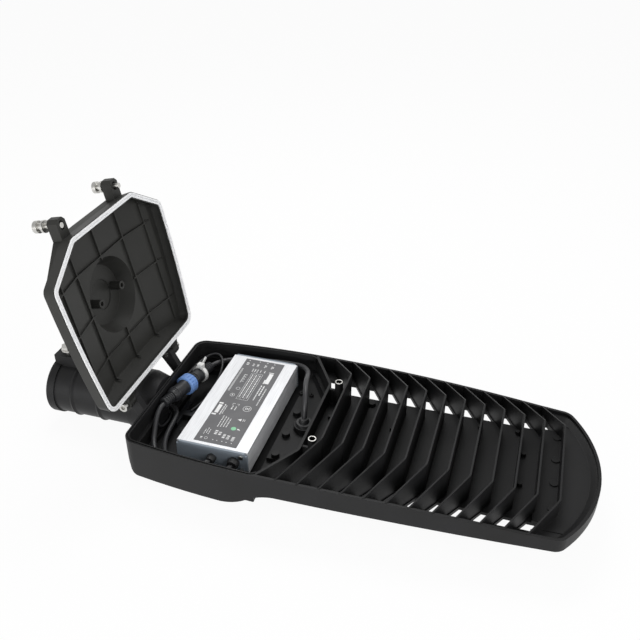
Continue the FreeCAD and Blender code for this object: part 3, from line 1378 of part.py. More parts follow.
grommet = lathe([
    (s.platform_top - s.wall / 2, s.grommet_hole), (s.gland_boss_top, s.grommet_hole),
    (s.gland_boss_top, s.grommet_radius + 1), (s.gland_boss_top + 3, s.grommet_radius),
    (s.gland_boss_top + 3, s.grommet_radius * 0.7), (s.grommet_top - 2, s.grommet_radius * 0.6),
    (s.grommet_top, s.grommet_radius * 0.5),
], Vector(s.gland_x, s.gland_y, 0), Vector(0, 0, 1))
grommet = grommet.cut(module_cable)
nodes.append(feature("floor_grommet", grommet))


def on_connector(profile):
    shape = lathe(profile, connector_start, connector_way)
    cable = Part.makeCylinder(
        s.cable_radius, s.relief_length, connector_start - connector_way, connector_way
    )
    far_cable = Part.makeCylinder(
        s.cable_radius, s.relief_length, connector_end + connector_way, connector_way * -1
    )
    return shape.cut([cable, far_cable])


RING_SCALLOPS = 18
LENS_GRID = 6
shell = s.connector_radius
nodes.append(feature("plug_strain_relief", on_connector(
    ridges(0, s.relief_length, s.relief_radius - 1.1, s.relief_radius, 5)).cut(output_cable)))
nodes.append(feature("connector_plug", on_connector(
    [(s.relief_length, shell * 0.78), (s.relief_length + 3, shell * 0.9)]
    + ridges(s.relief_length + 3.5, s.relief_length + 9, shell * 0.9, shell, 2)
    + [(ring_start - 2, shell * 0.94), (ring_start, shell)])))
ring = lathe([
    (ring_start, s.ring_radius - 1.2), (ring_start + 1.2, s.ring_radius),
    (ring_end - 2, s.ring_radius), (ring_end, s.ring_radius - 1.5),
], connector_start, connector_way)
on_axis = Placement(connector_start, Rotation(Vector(1, 0, 0), connector_way))
scallops = []
for step in range(RING_SCALLOPS):
    angle = math.radians(360 / RING_SCALLOPS * step)
    groove = Part.makeCylinder(s.scallop_radius, s.ring_length - 2 * s.scallop_margin, Vector(
        ring_start + s.scallop_margin, s.ring_radius * math.cos(angle),
        s.ring_radius * math.sin(angle)
    ), Vector(1, 0, 0))
    groove.Placement = on_axis * groove.Placement
    scallops.append(groove)
nodes.append(feature("coupling_ring", ring.cut(scallops)))
nodes.append(feature("connector_socket", on_connector(
    [(ring_end, shell + 0.4)]
    + ridges(ring_end + 2, ring_end + 8, shell * 0.93, shell + 0.4, 2)
    + [(shell_end - 3, shell * 0.95), (shell_end, shell * 0.75)])))
nodes.append(feature("socket_strain_relief", on_connector(
    ridges(shell_end, connector_length, s.relief_radius - 1.1, s.relief_radius, 5)).cut(module_cable)))

tie_at = shell_end - 8
tie_radius = shell + s.tie_thickness
tie = lathe([(tie_at, tie_radius), (tie_at + s.tie_width, tie_radius)], connector_start, connector_way)
tie = tie.cut(lathe([(tie_at - 1, shell * 0.95), (tie_at + s.tie_width + 1, shell * 0.95)],
                    connector_start, connector_way))
tie_head = Part.makeBox(s.tie_width + 2 * s.tie_head_margin, s.tie_head_width, s.tie_head_height,
                        Vector(tie_at - s.tie_head_margin, -s.tie_head_width / 2, tie_radius - 0.1))
tie_tail = Part.makeBox(s.tie_width - 1, s.tie_tail_thickness, s.tie_tail_length, Vector(
    tie_at + 0.5, -s.tie_tail_thickness / 2, tie_radius + s.tie_head_height - 1))
tie_tail.rotate(Vector(tie_at, 0, tie_radius), Vector(0, 1, 0), s.tie_tail_angle)
for piece in (tie_head, tie_tail):
    piece.Placement = on_axis * piece.Placement
nodes.append(feature("cable_tie", tie.fuse([tie_head, tie_tail])))

bracket_low = s.wall - s.belly_depth
bar_front = s.bracket_x + s.bracket_width
bracket = block((s.bracket_x, s.bracket_near_y, bracket_low), (bar_front, s.bracket_far_y, s.bracket_top))
bracket = bracket.fuse(block((bar_front - 1, s.bracket_leg_near_y, bracket_low),
                             (bar_front + s.bracket_leg_reach, s.bracket_leg_far_y, s.bracket_top)))
nodes.append(feature("cable_bracket", bracket))


# Light modules under the base plate

for name, row in (("rear", 0), ("front", 1)):
    start = FRONT + b.module_start + (b.module_length + b.module_gap) * row
    nodes.append(box(f"led_board_{name}", b.module_length - b.board_margin * 2,
                     b.module_half_width * 2 - b.board_margin * 2,
                     b.board_thickness, start + b.board_margin,
                     b.module_half_width * -1 + b.board_margin, b.board_thickness * -1))
    low_x = start.value
    high_x = low_x + s.module_length
    half = s.module_half_width
    seal_in = 5
    seal = block((low_x, -half, -s.board_thickness), (high_x, half, 0)).cut(block(
        (low_x + seal_in, -half + seal_in, -HIGH), (high_x - seal_in, half - seal_in, HIGH)))
    screws = lens_screw_places(row)
    holes = [post(s.lens_screw_radius, x, y, -HIGH, 0) for x, y in screws]
    nodes.append(feature(f"lens_gasket_{name}", seal.cut(holes)))
    plate_low = -s.board_thickness - s.lens_thickness
    plate = block((low_x, -half, plate_low), (high_x, half, -s.board_thickness)).cut(holes)
    lenses = []
    for column in range(LENS_GRID):
        for across in range(LENS_GRID):
            x = low_x + s.module_length * (column + 0.5) / LENS_GRID
            y = -half + half * 2 * (across + 0.5) / LENS_GRID
            lenses.append(Part.makeCone(
                s.lens_radius * 0.5, s.lens_radius, s.lens_height, Vector(x, y, plate_low - s.lens_height)
            ))
    nodes.append(feature(f"lens_plate_{name}", plate.fuse(lenses)))
    if row == 0:
        lens_screws = []
    for x, y in screws:
        shank = post(s.lens_screw_radius, x, y, plate_low - 1, 3)
        lens_screws.append(shank.fuse(post(1.6 * s.lens_screw_radius, x, y, plate_low - 1.6, plate_low)))
nodes.append(feature("lens_screws", Part.makeCompound(lens_screws)))


# Check and write every node

doc.recompute()
for item in doc.Objects:
    if "Invalid" in item.State or "Error" in item.State:
        raise RuntimeError(f"{item.Label} is in state {item.State}")
os.makedirs("parts", exist_ok=True)
total = 0
for node in nodes:
    shape = node.Shape
    if shape.isNull() or not shape.isValid():
        raise RuntimeError(f"{node.Label} has no valid shape")
    if not all(solid.isClosed() for solid in shape.Solids) or not shape.Solids:
        raise RuntimeError(f"{node.Label} is not closed")
    shape.exportStep(f"parts/{node.Label}.step")
    total += 1
print(total, "nodes written")
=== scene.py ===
import math

import bmesh
import bpy
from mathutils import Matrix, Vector


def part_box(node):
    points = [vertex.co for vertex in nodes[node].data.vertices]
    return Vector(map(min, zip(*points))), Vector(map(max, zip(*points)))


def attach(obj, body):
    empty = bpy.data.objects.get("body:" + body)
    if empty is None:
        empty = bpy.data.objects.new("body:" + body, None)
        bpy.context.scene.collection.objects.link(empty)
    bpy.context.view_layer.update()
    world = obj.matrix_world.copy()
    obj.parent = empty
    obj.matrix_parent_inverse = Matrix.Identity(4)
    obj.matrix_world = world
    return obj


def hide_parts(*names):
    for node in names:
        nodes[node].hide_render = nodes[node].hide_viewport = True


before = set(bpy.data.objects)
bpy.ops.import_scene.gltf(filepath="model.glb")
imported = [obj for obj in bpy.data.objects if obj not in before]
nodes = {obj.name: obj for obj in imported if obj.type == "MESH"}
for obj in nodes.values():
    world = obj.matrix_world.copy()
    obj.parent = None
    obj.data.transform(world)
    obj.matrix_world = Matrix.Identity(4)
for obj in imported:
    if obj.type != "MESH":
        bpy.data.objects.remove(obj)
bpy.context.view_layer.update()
MM = 0.001


# Camera, floor and light

CAMERA_PLACE = (0.5396, -0.6676, 0.5965)
CAMERA_AZIMUTH, CAMERA_ELEVATION = 16.97, 32.41
CAMERA_LENS, SENSOR_WIDTH = 44.57, 36.0
FLOOR_HEIGHT, FLOOR_HALF_SIZE = -0.038, 6.0
FLOOR_GLOW = 0.94
SOFT_LIGHT = 0.45
DOME_LOW, DOME_HIGH, DOME_TOP_LIGHT = 0.05, 0.4, 0.6
WHITE = (1, 1, 1, 1)
LAMP_TARGET = (0.33, 0.0, 0.05)
SOFTBOXES = [  # name, place, width, height, watts
    ("top_softbox", (0.1, 0.6, 1.25), 0.8, 0.6, 9.0),
    ("front_softbox", (-0.1, -1.7, 0.3), 1.2, 0.6, 16.0),
    ("right_softbox", (1.6, -0.7, 0.8), 0.8, 0.8, 9.0),
]


def look_from(name, place, azimuth, elevation, lens):
    """Camera at a place, looking down at an elevation from an azimuth about the vertical."""
    a, e = math.radians(azimuth), math.radians(elevation)
    back = Vector((math.sin(a) * math.cos(e), -math.cos(a) * math.cos(e), math.sin(e)))
    data = bpy.data.cameras.new(name)
    data.lens = lens
    data.sensor_width = SENSOR_WIDTH
    camera = bpy.data.objects.new(name, data)
    bpy.context.scene.collection.objects.link(camera)
    camera.location = place
    camera.rotation_mode = "QUATERNION"
    camera.rotation_quaternion = (-back).to_track_quat("-Z", "Y")
    data.clip_start, data.clip_end = 0.01, 50.0
    return camera


def linear(hex_colour):
    """sRGB hex colour as a linear RGBA tuple."""
    parts = [int(hex_colour[i:i + 2], 16) / 255 for i in (1, 3, 5)]
    return tuple(
        c / 12.92 if c <= 0.04045 else ((c + 0.055) / 1.055) ** 2.4 for c in parts
    ) + (1.0,)


def add_node(tree, kind, settings=None, inputs=None):
    """One node with its settings; an input is a value or another node's output socket."""
    made = tree.nodes.new(kind)
    for key, value in (settings or {}).items():
        setattr(made, key, value)
    for key, value in (inputs or {}).items():
        socket = made.inputs[key]
        if isinstance(value, bpy.types.NodeSocket):
            tree.links.new(value, socket)
        else:
            socket.default_value = value
    return made


def new_tree(name):
    """Material with an empty node tree."""
    material = bpy.data.materials.new(name)
    material.use_nodes = True
    material.node_tree.nodes.clear()
    return material, material.node_tree


def studio_world():
    """World that the camera sees as pure white and the part sees as a softer, uneven light."""
    world = bpy.data.worlds.new("soft_studio")
    world.use_nodes = True
    tree = world.node_tree
    tree.nodes.clear()
    path = add_node(tree, "ShaderNodeLightPath")
    seen = add_node(tree, "ShaderNodeMath", {"operation": "MAXIMUM"},
                    {0: path.outputs["Is Camera Ray"], 1: path.outputs["Is Transmission Ray"]})
    sky = add_node(tree, "ShaderNodeSeparateXYZ", None,
                   {0: add_node(tree, "ShaderNodeTexCoord").outputs["Generated"]})
    # Reflections see white at the horizon and grey overhead, so that dark paint keeps its depth.
    dome = add_node(tree, "ShaderNodeMapRange", {"interpolation_type": "SMOOTHSTEP"}, {
        "Value": sky.outputs["Z"], "From Min": DOME_LOW, "From Max": DOME_HIGH,
        "To Min": 1.0, "To Max": DOME_TOP_LIGHT})
    soft = add_node(tree, "ShaderNodeMix", None, {
        "Factor": path.outputs["Is Glossy Ray"], "A": SOFT_LIGHT, "B": dome.outputs[0]})
    strength = add_node(tree, "ShaderNodeMix", None, {
        "Factor": seen.outputs[0], "A": soft.outputs[0], "B": 1.0})
    light = add_node(tree, "ShaderNodeBackground", None,
                     {"Color": WHITE, "Strength": strength.outputs[0]})
    add_node(tree, "ShaderNodeOutputWorld", None, {"Surface": light.outputs[0]})
    bpy.context.scene.world = world


def pale_floor(height, half):
    """Large pale floor that takes a faint shadow and fades into the white background."""
    material, tree = new_tree("pale_studio_floor")
    path = add_node(tree, "ShaderNodeLightPath")
    diffuse = add_node(tree, "ShaderNodeBsdfDiffuse", None, {"Color": linear("#f4f4f4")})
    glow = add_node(tree, "ShaderNodeEmission", None, {"Color": WHITE, "Strength": 1.0})
    seen = add_node(tree, "ShaderNodeMath", {"operation": "MAXIMUM"},
                    {0: path.outputs["Is Camera Ray"], 1: path.outputs["Is Glossy Ray"]})
    share = add_node(tree, "ShaderNodeMath", {"operation": "MULTIPLY"},
                     {0: seen.outputs[0], 1: FLOOR_GLOW})
    mix = add_node(tree, "ShaderNodeMixShader", None, {
        0: share.outputs[0], 1: diffuse.outputs[0], 2: glow.outputs[0]})
    add_node(tree, "ShaderNodeOutputMaterial", None, {"Surface": mix.outputs[0]})
    mesh = bpy.data.meshes.new("studio_floor")
    mesh.from_pydata([(-half, -half, height), (half, -half, height), (half, half, height),
                      (-half, half, height)], [], [(0, 1, 2, 3)])
    floor = bpy.data.objects.new("studio_floor", mesh)
    bpy.context.scene.collection.objects.link(floor)
    mesh.materials.append(material)


def softbox(name, place, target, width, height, power):
    """Rectangular lamp that faces a point."""
    data = bpy.data.lights.new(name, "AREA")
    data.shape = "RECTANGLE"
    data.size, data.size_y, data.energy = width, height, power
    lamp = bpy.data.objects.new(name, data)
    bpy.context.scene.collection.objects.link(lamp)
    lamp.location = place
    lamp.rotation_euler = (Vector(target) - Vector(place)).to_track_quat("-Z", "Y").to_euler()


bpy.context.scene.camera = look_from(
    "photograph_camera", CAMERA_PLACE, CAMERA_AZIMUTH, CAMERA_ELEVATION, CAMERA_LENS
)
bpy.context.scene.view_settings.view_transform = "Standard"
studio_world()
pale_floor(FLOOR_HEIGHT, FLOOR_HALF_SIZE)
for lamp_name, lamp_place, lamp_width, lamp_height, watts in SOFTBOXES:
    softbox(lamp_name, lamp_place, LAMP_TARGET, lamp_width, lamp_height, watts)


# Materials: sizes of grain, cloud, edge and depth are in millimetres

def object_coords(tree):
    """Coordinates that stay with the piece when it moves."""
    return add_node(tree, "ShaderNodeTexCoord").outputs["Object"]


def noise(tree, coords, size_mm, detail=2.0, rough=0.5):
    """Noise whose blobs are about size_mm across."""
    return add_node(tree, "ShaderNodeTexNoise", None, {
        "Vector": coords, "Scale": 1 / (size_mm * MM), "Detail": detail, "Roughness": rough,
    }).outputs["Fac"]


def span(tree, value, low, high):
    """The middle of a noise's range, from 0.3 to 0.7, spread from low to high."""
    return add_node(tree, "ShaderNodeMapRange", None, {
        "Value": value, "From Min": 0.3, "From Max": 0.7, "To Min": low, "To Max": high,
    }).outputs[0]


def blend_colours(tree, share, first, second):
    """Mix of two hex colours."""
    return add_node(tree, "ShaderNodeMix", {"data_type": "RGBA"}, {
        "Factor": share, 6: linear(first), 7: linear(second),
    }).outputs[2]


def bump(tree, height, depth_mm, strength, normal):
    """Fine relief on top of a normal."""
    return add_node(tree, "ShaderNodeBump", None, {
        "Height": height, "Distance": depth_mm * MM, "Strength": strength, "Normal": normal,
    }).outputs[0]


def softened(tree, radius_mm):
    """Normal that rounds hard edges the way a casting or a coat does."""
    bevel = add_node(tree, "ShaderNodeBevel", {"samples": 6}, {"Radius": radius_mm * MM})
    return bevel.outputs[0]


def surface(tree, colour, roughness, normal, **sockets):
    """Shader and output; a socket's name is given with _ for each blank."""
    inputs = {"Base Color": colour, "Roughness": roughness, "Normal": normal}
    inputs.update({key.replace("_", " "): value for key, value in sockets.items()})
    shader = add_node(tree, "ShaderNodeBsdfPrincipled", None, inputs)
    add_node(tree, "ShaderNodeOutputMaterial", None, {"Surface": shader.outputs[0]})


def powder_coat(name, dark, light, grain_mm, roughness):
    """Paint on metal: fine orange peel, slightly uneven sheen, low gloss."""
    material, tree = new_tree(name)
    coords = object_coords(tree)
    cloud = noise(tree, coords, size_mm=45.0, detail=3.0)
    speck = noise(tree, coords, size_mm=grain_mm, detail=1.0)
    colour = blend_colours(tree, span(tree, cloud, 0.0, 1.0), dark, light)
    rough = span(tree, cloud, roughness - 0.04, roughness + 0.05)
    normal = bump(tree, speck, depth_mm=0.035, strength=0.6, normal=softened(tree, 0.7))
    surface(tree, colour, rough, normal, Specular_IOR_Level=0.2)
    return material


def brushed_metal(name, dark, light, line_mm, along, roughness, metallic=1.0):
    """Metal with fine drawn lines along one axis."""
    material, tree = new_tree(name)
    coords = object_coords(tree)
    stretch = [0.02 if axis == along else 1.0 for axis in "XYZ"]
    lines = add_node(tree, "ShaderNodeMapping", None, {"Vector": coords, "Scale": stretch})
    streak = noise(tree, lines.outputs[0], size_mm=line_mm, detail=3.0, rough=0.65)
    cloud = noise(tree, coords, size_mm=30.0)
    colour = blend_colours(tree, span(tree, streak, 0.0, 1.0), dark, light)
    rough = span(tree, cloud, roughness - 0.05, roughness + 0.07)
    normal = bump(tree, streak, depth_mm=0.02, strength=0.5, normal=softened(tree, 0.25))
    surface(tree, colour, rough, normal, Metallic=metallic)
    return material


def moulded(name, dark, light, grain_mm, roughness, depth_mm=0.02, edge_mm=0.4, **sockets):
    """Moulded plastic or rubber: even colour, slight mottling, fine surface grain."""
    material, tree = new_tree(name)
    coords = object_coords(tree)
    cloud = noise(tree, coords, size_mm=18.0)
    grain = noise(tree, coords, size_mm=grain_mm)
    colour = blend_colours(tree, span(tree, cloud, 0.0, 1.0), dark, light)
    rough = span(tree, grain, roughness - 0.05, roughness + 0.06)
    normal = bump(tree, grain, depth_mm, strength=0.5, normal=softened(tree, edge_mm))
    surface(tree, colour, rough, normal, **sockets)
    return material


# Charcoal paint of the casting: fine orange peel, nearly matt, edges catch a thin light line.
HOUSING = powder_coat("powder_coated_die_cast_aluminium", "#1a1a1a", "#1f1f20", 0.9, 0.46)
# The lid's paint is a little warmer; its paler tone is painted light, for how its inside looks in
# the light from above.
LID = powder_coat("lid_powder_coat_with_painted_light", "#2a2a28", "#30302e", 0.9, 0.46)
# Bright screws with fine turning lines and soft, broken reflections.
STEEL = brushed_metal("stainless_steel_a2", "#b9b8b4", "#d8d7d3", 0.4, "Z", 0.28)
# Grub screws that show only a dark metallic glint in the black casting.
BLACK_STEEL = brushed_metal("blackened_steel", "#2a2a2b", "#38383a", 0.4, "Z", 0.38)
# Silvery driver case: pale satin sheen drawn along the extrusion.
DRIVER = brushed_metal("clear_anodised_extruded_aluminium", "#cfd0d2", "#e8e9eb",
                       0.6, "Y", 0.44, 0.6)
# Painted shade: darker metal in the valleys between the case's ribs, so they read as dark lines
# close up.
VALLEY_SHADE = brushed_metal("painted_rib_valley_shade", "#4c4d4f", "#5a5b5d",
                       0.6, "Y", 0.5, 0.6)
# Cooler and flatter than the case, so the end plates stand apart from it.
END_PLATE = powder_coat("blue_grey_painted_sheet_steel", "#868f99", "#929ba5", 0.7, 0.4)
# Even mid grey film, smooth beside the brushed metal.
LABEL = moulded("printed_polyester_label", "#5e5e60", "#666668", 0.6, 0.5, 0.005)
# Crisp pale marks on the grey film.
INK = moulded("white_printing_ink", "#e9e9e9", "#f6f6f6", 0.4, 0.5, 0.003)
# One small green dot among the white marks.
GREEN = moulded("green_indicator_ink", "#7fc79a", "#8ed2a6", 0.4, 0.4, 0.003)
# Soft dark grey of bushes and gland, duller than the paint.
RUBBER = moulded("epdm_rubber", "#212122", "#29292a", 0.5, 0.5)
# Slightly paler than rubber, with a long soft highlight along the cable.
SHEATH = moulded("pvc_cable_sheath", "#2c2c2e", "#343436", 0.8, 0.42)
# Hard near-black shells of the connector, crisp on their ridges.
NYLON = moulded("glass_filled_nylon", "#1d1e20", "#26272a", 0.5, 0.42)
# The one clear colour: sky blue coupling ring.
BLUE = moulded("blue_moulded_nylon", "#6b90cc", "#7ba0da", 0.6, 0.4)
# Milky white strap, smooth and a little shiny.
WHITE_TIE = moulded("natural_white_nylon", "#e2e2e0", "#ececea", 0.6, 0.38, 0.01)
# White soft line round the lid, its edges rounded more than the others'.
SILICONE = moulded("white_silicone_seal", "#eeeff1", "#f6f6f7", 0.9, 0.45, edge_mm=0.8)
# White lacquer of the light boards, seen through the lenses.
BOARD = moulded("white_solder_mask", "#d9dad8", "#e2e3e1", 0.5, 0.35, 0.01)
# Clear lens plates that let the white boards through and glint on each dome.
LENS = moulded("moulded_pmma_lens", "#e6eaec", "#eef1f2", 0.8, 0.12, 0.004, 0.3,
               Transmission_Weight=0.85, IOR=1.49)

DRESS = {
    HOUSING: ["main_housing", "pole_socket"],
    LID: ["lid_cover"],
    BLACK_STEEL: ["socket_screws"],
    STEEL: ["pole_set_screws", "hinge_screws", "driver_end_screws",
            "driver_mounting_screws", "lens_screws", "lid_screw_near", "lid_screw_far"],
    DRIVER: ["driver_case"],
    END_PLATE: ["driver_end_plate_near", "driver_end_plate_far"],
    LABEL: ["driver_label"],
    RUBBER: ["driver_input_bush", "driver_output_bush", "floor_grommet", "rear_grommet",
             "lens_gasket_rear", "lens_gasket_front"],
    SHEATH: ["input_cable", "output_cable", "module_cable", "thin_wire"],
    NYLON: ["connector_plug", "connector_socket", "plug_strain_relief",
            "socket_strain_relief", "cable_bracket"],
    BLUE: ["coupling_ring"],
    WHITE_TIE: ["cable_tie"],
    SILICONE: ["lid_gasket"],
    BOARD: ["led_board_rear", "led_board_front"],
    LENS: ["lens_plate_rear", "lens_plate_front"],
}
for dress, dressed in DRESS.items():
    for node_name in dressed:
        node_materials = nodes[node_name].data.materials
        node_materials.clear()
        node_materials.append(dress)


# Details of the castings and of the driver's case; lengths in millimetres

def piece(name, work, material):
    """Object from a finished bmesh, carried by the housing."""
    bmesh.ops.recalc_face_normals(work, faces=work.faces)
    mesh = bpy.data.meshes.new(name)
    work.to_mesh(mesh)
    work.free()
    made = bpy.data.objects.new(name, mesh)
    bpy.context.scene.collection.objects.link(made)
    mesh.materials.append(material)
    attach(made, "housing")
    return made


def ring_of_faces(work, first, second):
    """Faces between two closed rows of points."""
    for i in range(len(first)):
        j = (i + 1) % len(first)
        work.faces.new((first[i], first[j], second[j], second[i]))


def drawn_in(line, distance):
    """Open line in plan moved to its right by a distance, with its corners kept sharp."""
    moved = []
    for a, b in zip(line, line[1:]):
        way = (Vector(b) - Vector(a)).normalized()
        aside = Vector((way.y, -way.x)) * distance
        moved.append((Vector(a) + aside, Vector(b) + aside))
    points = [moved[0][0]]
    for first, second in zip(moved, moved[1:]):
        points.append(crossing(*first, *second))
    return points + [moved[-1][1]]


def crossing(a, b, c, d):
    """Crossing of two endless lines in plan."""
    first, second, apart = b - a, d - c, c - a
    share = (apart.x * second.y - apart.y * second.x) / (first.x * second.y - first.y * second.x)
    return a + first * share


# Outline of the housing in plan round the compartment's front
FRONT_WALLS = [(291.5, 113.1), (299, 113.7), (332, 61),
               (332, -61), (299, -113.7), (291.5, -113.1)]
# The fillet's section: distance inside that outline, and height
FILLET = [(6.8, 1.2), (10.4, -3.05), (10.4, -5.5), (6.8, 0.1)]


def floor_fillet():
    """Fillet that closes the joint between the compartment's raised floor and its front walls."""
    work = bmesh.new()
    lines = [drawn_in(FRONT_WALLS, inward) for inward, _ in FILLET]
    rows = [[work.verts.new((spot.x * MM, spot.y * MM, height * MM)) for spot in line]
            for line, (_, height) in zip(lines, FILLET)]
    for lower, upper in zip(rows, rows[1:] + rows[:1]):
        for i in range(len(lower) - 1):
            work.faces.new((lower[i], lower[i + 1], upper[i + 1], upper[i]))
    for end in (0, -1):
        work.faces.new([row[end] for row in rows])
    piece("compartment_floor_fillet", work, HOUSING)


def circle(x, y, radius, steps):
    """Points round a circle in plan."""
    angles = [2 * math.pi * i / steps for i in range(steps)]
    return [(x + radius * math.cos(angle), y + radius * math.sin(angle)) for angle in angles]


# The machined rings on the bosses of the lid screws: section as radius and height
BOSS_X, BOSS_Y = 343.2, 52.6
BOSS_RING = [(3.3, 36.6), (3.3, 36.9), (3.5, 37.05), (4.4, 37.05), (4.6, 36.9), (4.6, 36.6)]
BOSS_STEPS = 40


def boss_faces():
    """Machined tops of the two bosses that the lid screws seat on."""
    work = bmesh.new()
    for y in (-BOSS_Y, BOSS_Y):
        rows = [[work.verts.new((at_x * MM, at_y * MM, height * MM))
                 for at_x, at_y in circle(BOSS_X, y, radius, BOSS_STEPS)]
                for radius, height in BOSS_RING]
        for lower, upper in zip(rows, rows[1:] + rows[:1]):
            ring_of_faces(work, lower, upper)
    piece("machined_boss_faces", work, STEEL)


# The driver's ribs: number, top of the case to the first, pitch, and section inward and up
RIB_COUNT, RIB_FIRST, RIB_PITCH = 8, 5.2, 3.4
RIB_PROFILE = [(1.5, 0.8), (0.4, 0.8), (0.0, 0.4), (0.0, -0.5), (0.3, -0.8), (1.5, -0.8)]
CASE_EDGE = 0.4
VALLEY_INWARD, VALLEY_MARGIN = (1.3, 1.7), 0.3
BOX_FACES = ((0, 1, 3, 2), (4, 6, 7, 5), (0, 4, 5, 1), (2, 3, 7, 6), (0, 2, 6, 4), (1, 5, 7, 3))


def driver_extrusion():
    """The driver's extruded case with thin ribs along both sides, and painted shade between them.
    """
    low, high = (Vector(corner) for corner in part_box("driver_case"))
    middle = (low.x + high.x) / 2
    half = (high.x - low.x) / 2
    lip = high.z - (RIB_FIRST / 2) * MM
    foot = half - RIB_PROFILE[0][0] * MM
    side = [(half - CASE_EDGE * MM, high.z), (half, high.z - CASE_EDGE * MM), (half, lip),
            (foot, lip)]
    for row in range(RIB_COUNT):
        centre = high.z - (RIB_FIRST + RIB_PITCH * row) * MM
        side += [(half - inward * MM, centre + up * MM) for inward, up in RIB_PROFILE]
    side.append((foot, low.z))
    outline = [(middle + x, z) for x, z in side] + [(middle - x, z) for x, z in reversed(side)]
    work = bmesh.new()
    near, far = ([work.verts.new((x, y, z)) for x, z in outline] for y in (low.y, high.y))
    ring_of_faces(work, near, far)
    work.faces.new(near)
    work.faces.new(list(reversed(far)))
    case = piece("ribbed_driver_extrusion", work, DRIVER)
    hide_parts("driver_case")

    # Dark boxes sunk in the rib valleys are painted shade, standing in for the shadow between the
    # ribs.
    shade = bmesh.new()
    margin = VALLEY_MARGIN * MM
    for hand in (-1, 1):
        inner, outer = sorted(middle + hand * (half - inward * MM) for inward in VALLEY_INWARD)
        corners = [shade.verts.new((x, y, z)) for x in (inner, outer)
                   for y in (low.y, high.y) for z in (low.z + margin, lip - margin)]
        for face in BOX_FACES:
            shade.faces.new([corners[i] for i in face])
    piece("driver_rib_valley_shade", shade, VALLEY_SHADE)


floor_fillet()
boss_faces()
driver_extrusion()


# Cables as smooth splines along the routes that the solids follow, in millimetres

CABLE_RADIUS, WIRE_RADIUS = 3.0, 1.3
INPUT_ROUTE = [
    (237.6, -80.55, 7.6), (236, -91, 7), (226, -97.3, 5), (209, -96.6, 1), (191, -90.5, -3),
    (177, -77.5, -5.5), (168, -59, -6.5), (163.5, -39, -7), (162, -20, -7), (159, -6, -5.5),
    (149.5, 1, -4.2), (132, 1.8, -4),
]
OUTPUT_ROUTE = [
    (263.3, -80.55, 7.6), (262, -92, 6), (251, -98, 1.5), (231, -98.7, -4), (210, -96.8, -7.5),
    (188, -93.5, -9), (170, -83, -8), (158.5, -68, -5), (153, -52, 2), (150, -38, 12),
    (150.5, -24.9, 17.3), (153.4, -8.3, 15.7),
]
MODULE_ROUTE = [
    (315, 5.5, 4), (315, 10, 25), (311, 24, 36), (306, 42, 37), (302, 61, 31), (297, 79, 23),
    (286, 96, 17), (269, 102, 13.5), (247, 102.5, 12), (224, 101, 11), (205, 99, 9.5),
    (189, 95.5, 8.5), (177, 88, 8), (168, 76.9, 7.7), (165.1, 60.3, 9.3),
]
THIN_ROUTE = [
    (171, 5, -10.57), (177, 21, -10), (183, 37, -5), (186, 53, 3), (186, 69, 10), (182, 83, 15),
    (173, 92.5, 16), (161.5, 93, 13), (153, 84, 9), (149, 70, 7), (146.5, 53, 6.5),
    (145.6, 36, 6.8), (145.3, 18, 7.6), (145.5, 0, 9), (145.4, -17, 9.2), (146.5, -32, 9.5),
    (151, -42, 2), (153, -36, -8), (154, -18, -10), (150.5, -4.5, -9), (138, -2.8, -8.5),
    (130, -3.2, -7.5),
]


def smooth_cable(name, node, route, radius):
    """Round cable on one smooth spline, in place of its plain solid."""
    curve = bpy.data.curves.new(name, "CURVE")
    curve.dimensions = "3D"
    curve.bevel_depth = radius * MM
    curve.bevel_resolution = 6
    curve.resolution_u = 12
    curve.use_fill_caps = True
    spline = curve.splines.new("NURBS")
    spline.points.add(len(route) - 1)
    for spot, (x, y, z) in zip(spline.points, route):
        spot.co = (x * MM, y * MM, z * MM, 1.0)
    spline.order_u = 3
    spline.use_endpoint_u = True
    cable = bpy.data.objects.new(name, curve)
    bpy.context.scene.collection.objects.link(cable)
    curve.materials.append(SHEATH)
    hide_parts(node)
    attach(cable, "housing")


smooth_cable("input_cable_sheath", "input_cable", INPUT_ROUTE, CABLE_RADIUS)
smooth_cable("output_cable_sheath", "output_cable", OUTPUT_ROUTE, CABLE_RADIUS)
smooth_cable("module_cable_sheath", "module_cable", MODULE_ROUTE, CABLE_RADIUS)
smooth_cable("thin_wire_sheath", "thin_wire", THIN_ROUTE, WIRE_RADIUS)


# Marks on the driver: plain bars, rings and frames in place of printing. Places are in
# millimetres from the label's near corner, x across the driver and y along it.

LABEL_LOW, LABEL_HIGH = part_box("driver_label")
LABEL_CORNER = Vector((LABEL_LOW[0], LABEL_LOW[1], LABEL_HIGH[2]))
MARK_THICKNESS = 0.05
DASH_GAP, DASH_BREADTH = 0.55, 1.35
TICK_START, TICK_END, TICK_PITCH = 138.3, 92.8, 1.75


def flat_marks(name, shapes, material):
    """Thin raised marks on the label in one piece; a shape is a list of its corners."""
    work = bmesh.new()
    for corners in shapes:
        lower, upper = ([work.verts.new(LABEL_CORNER + Vector((x, y, z)) * MM) for x, y in corners]
                        for z in (0, MARK_THICKNESS))
        work.faces.new(list(reversed(lower)))
        work.faces.new(upper)
        ring_of_faces(work, lower, upper)
    piece(name, work, material)


def bar(x, y, across, along):
    """Rectangle centred at x, y."""
    a, b = across / 2, along / 2
    return [(x - a, y - b), (x + a, y - b), (x + a, y + b), (x - a, y + b)]


def dashes(x, start, end, across, longest, seed):
    """Row of bars of uneven length from one y to a smaller one, as a line of print looks."""
    made, y, turn = [], start, seed
    while y - end > 0.6:
        turn = (turn * 7 + 3) % 11
        length = min(longest * (0.35 + 0.065 * turn), y - end)
        made.append(bar(x, y - length / 2, across * DASH_BREADTH, length))
        y -= length + DASH_GAP + 0.06 * turn
    return made


def ring(x, y, radius, width, steps=28):
    """Ring made of short sectors."""
    inner, outer = circle(x, y, radius, steps), circle(x, y, radius + width, steps)
    return [[inner[i], outer[i], outer[(i + 1) % steps], inner[(i + 1) % steps]]
            for i in range(steps)]


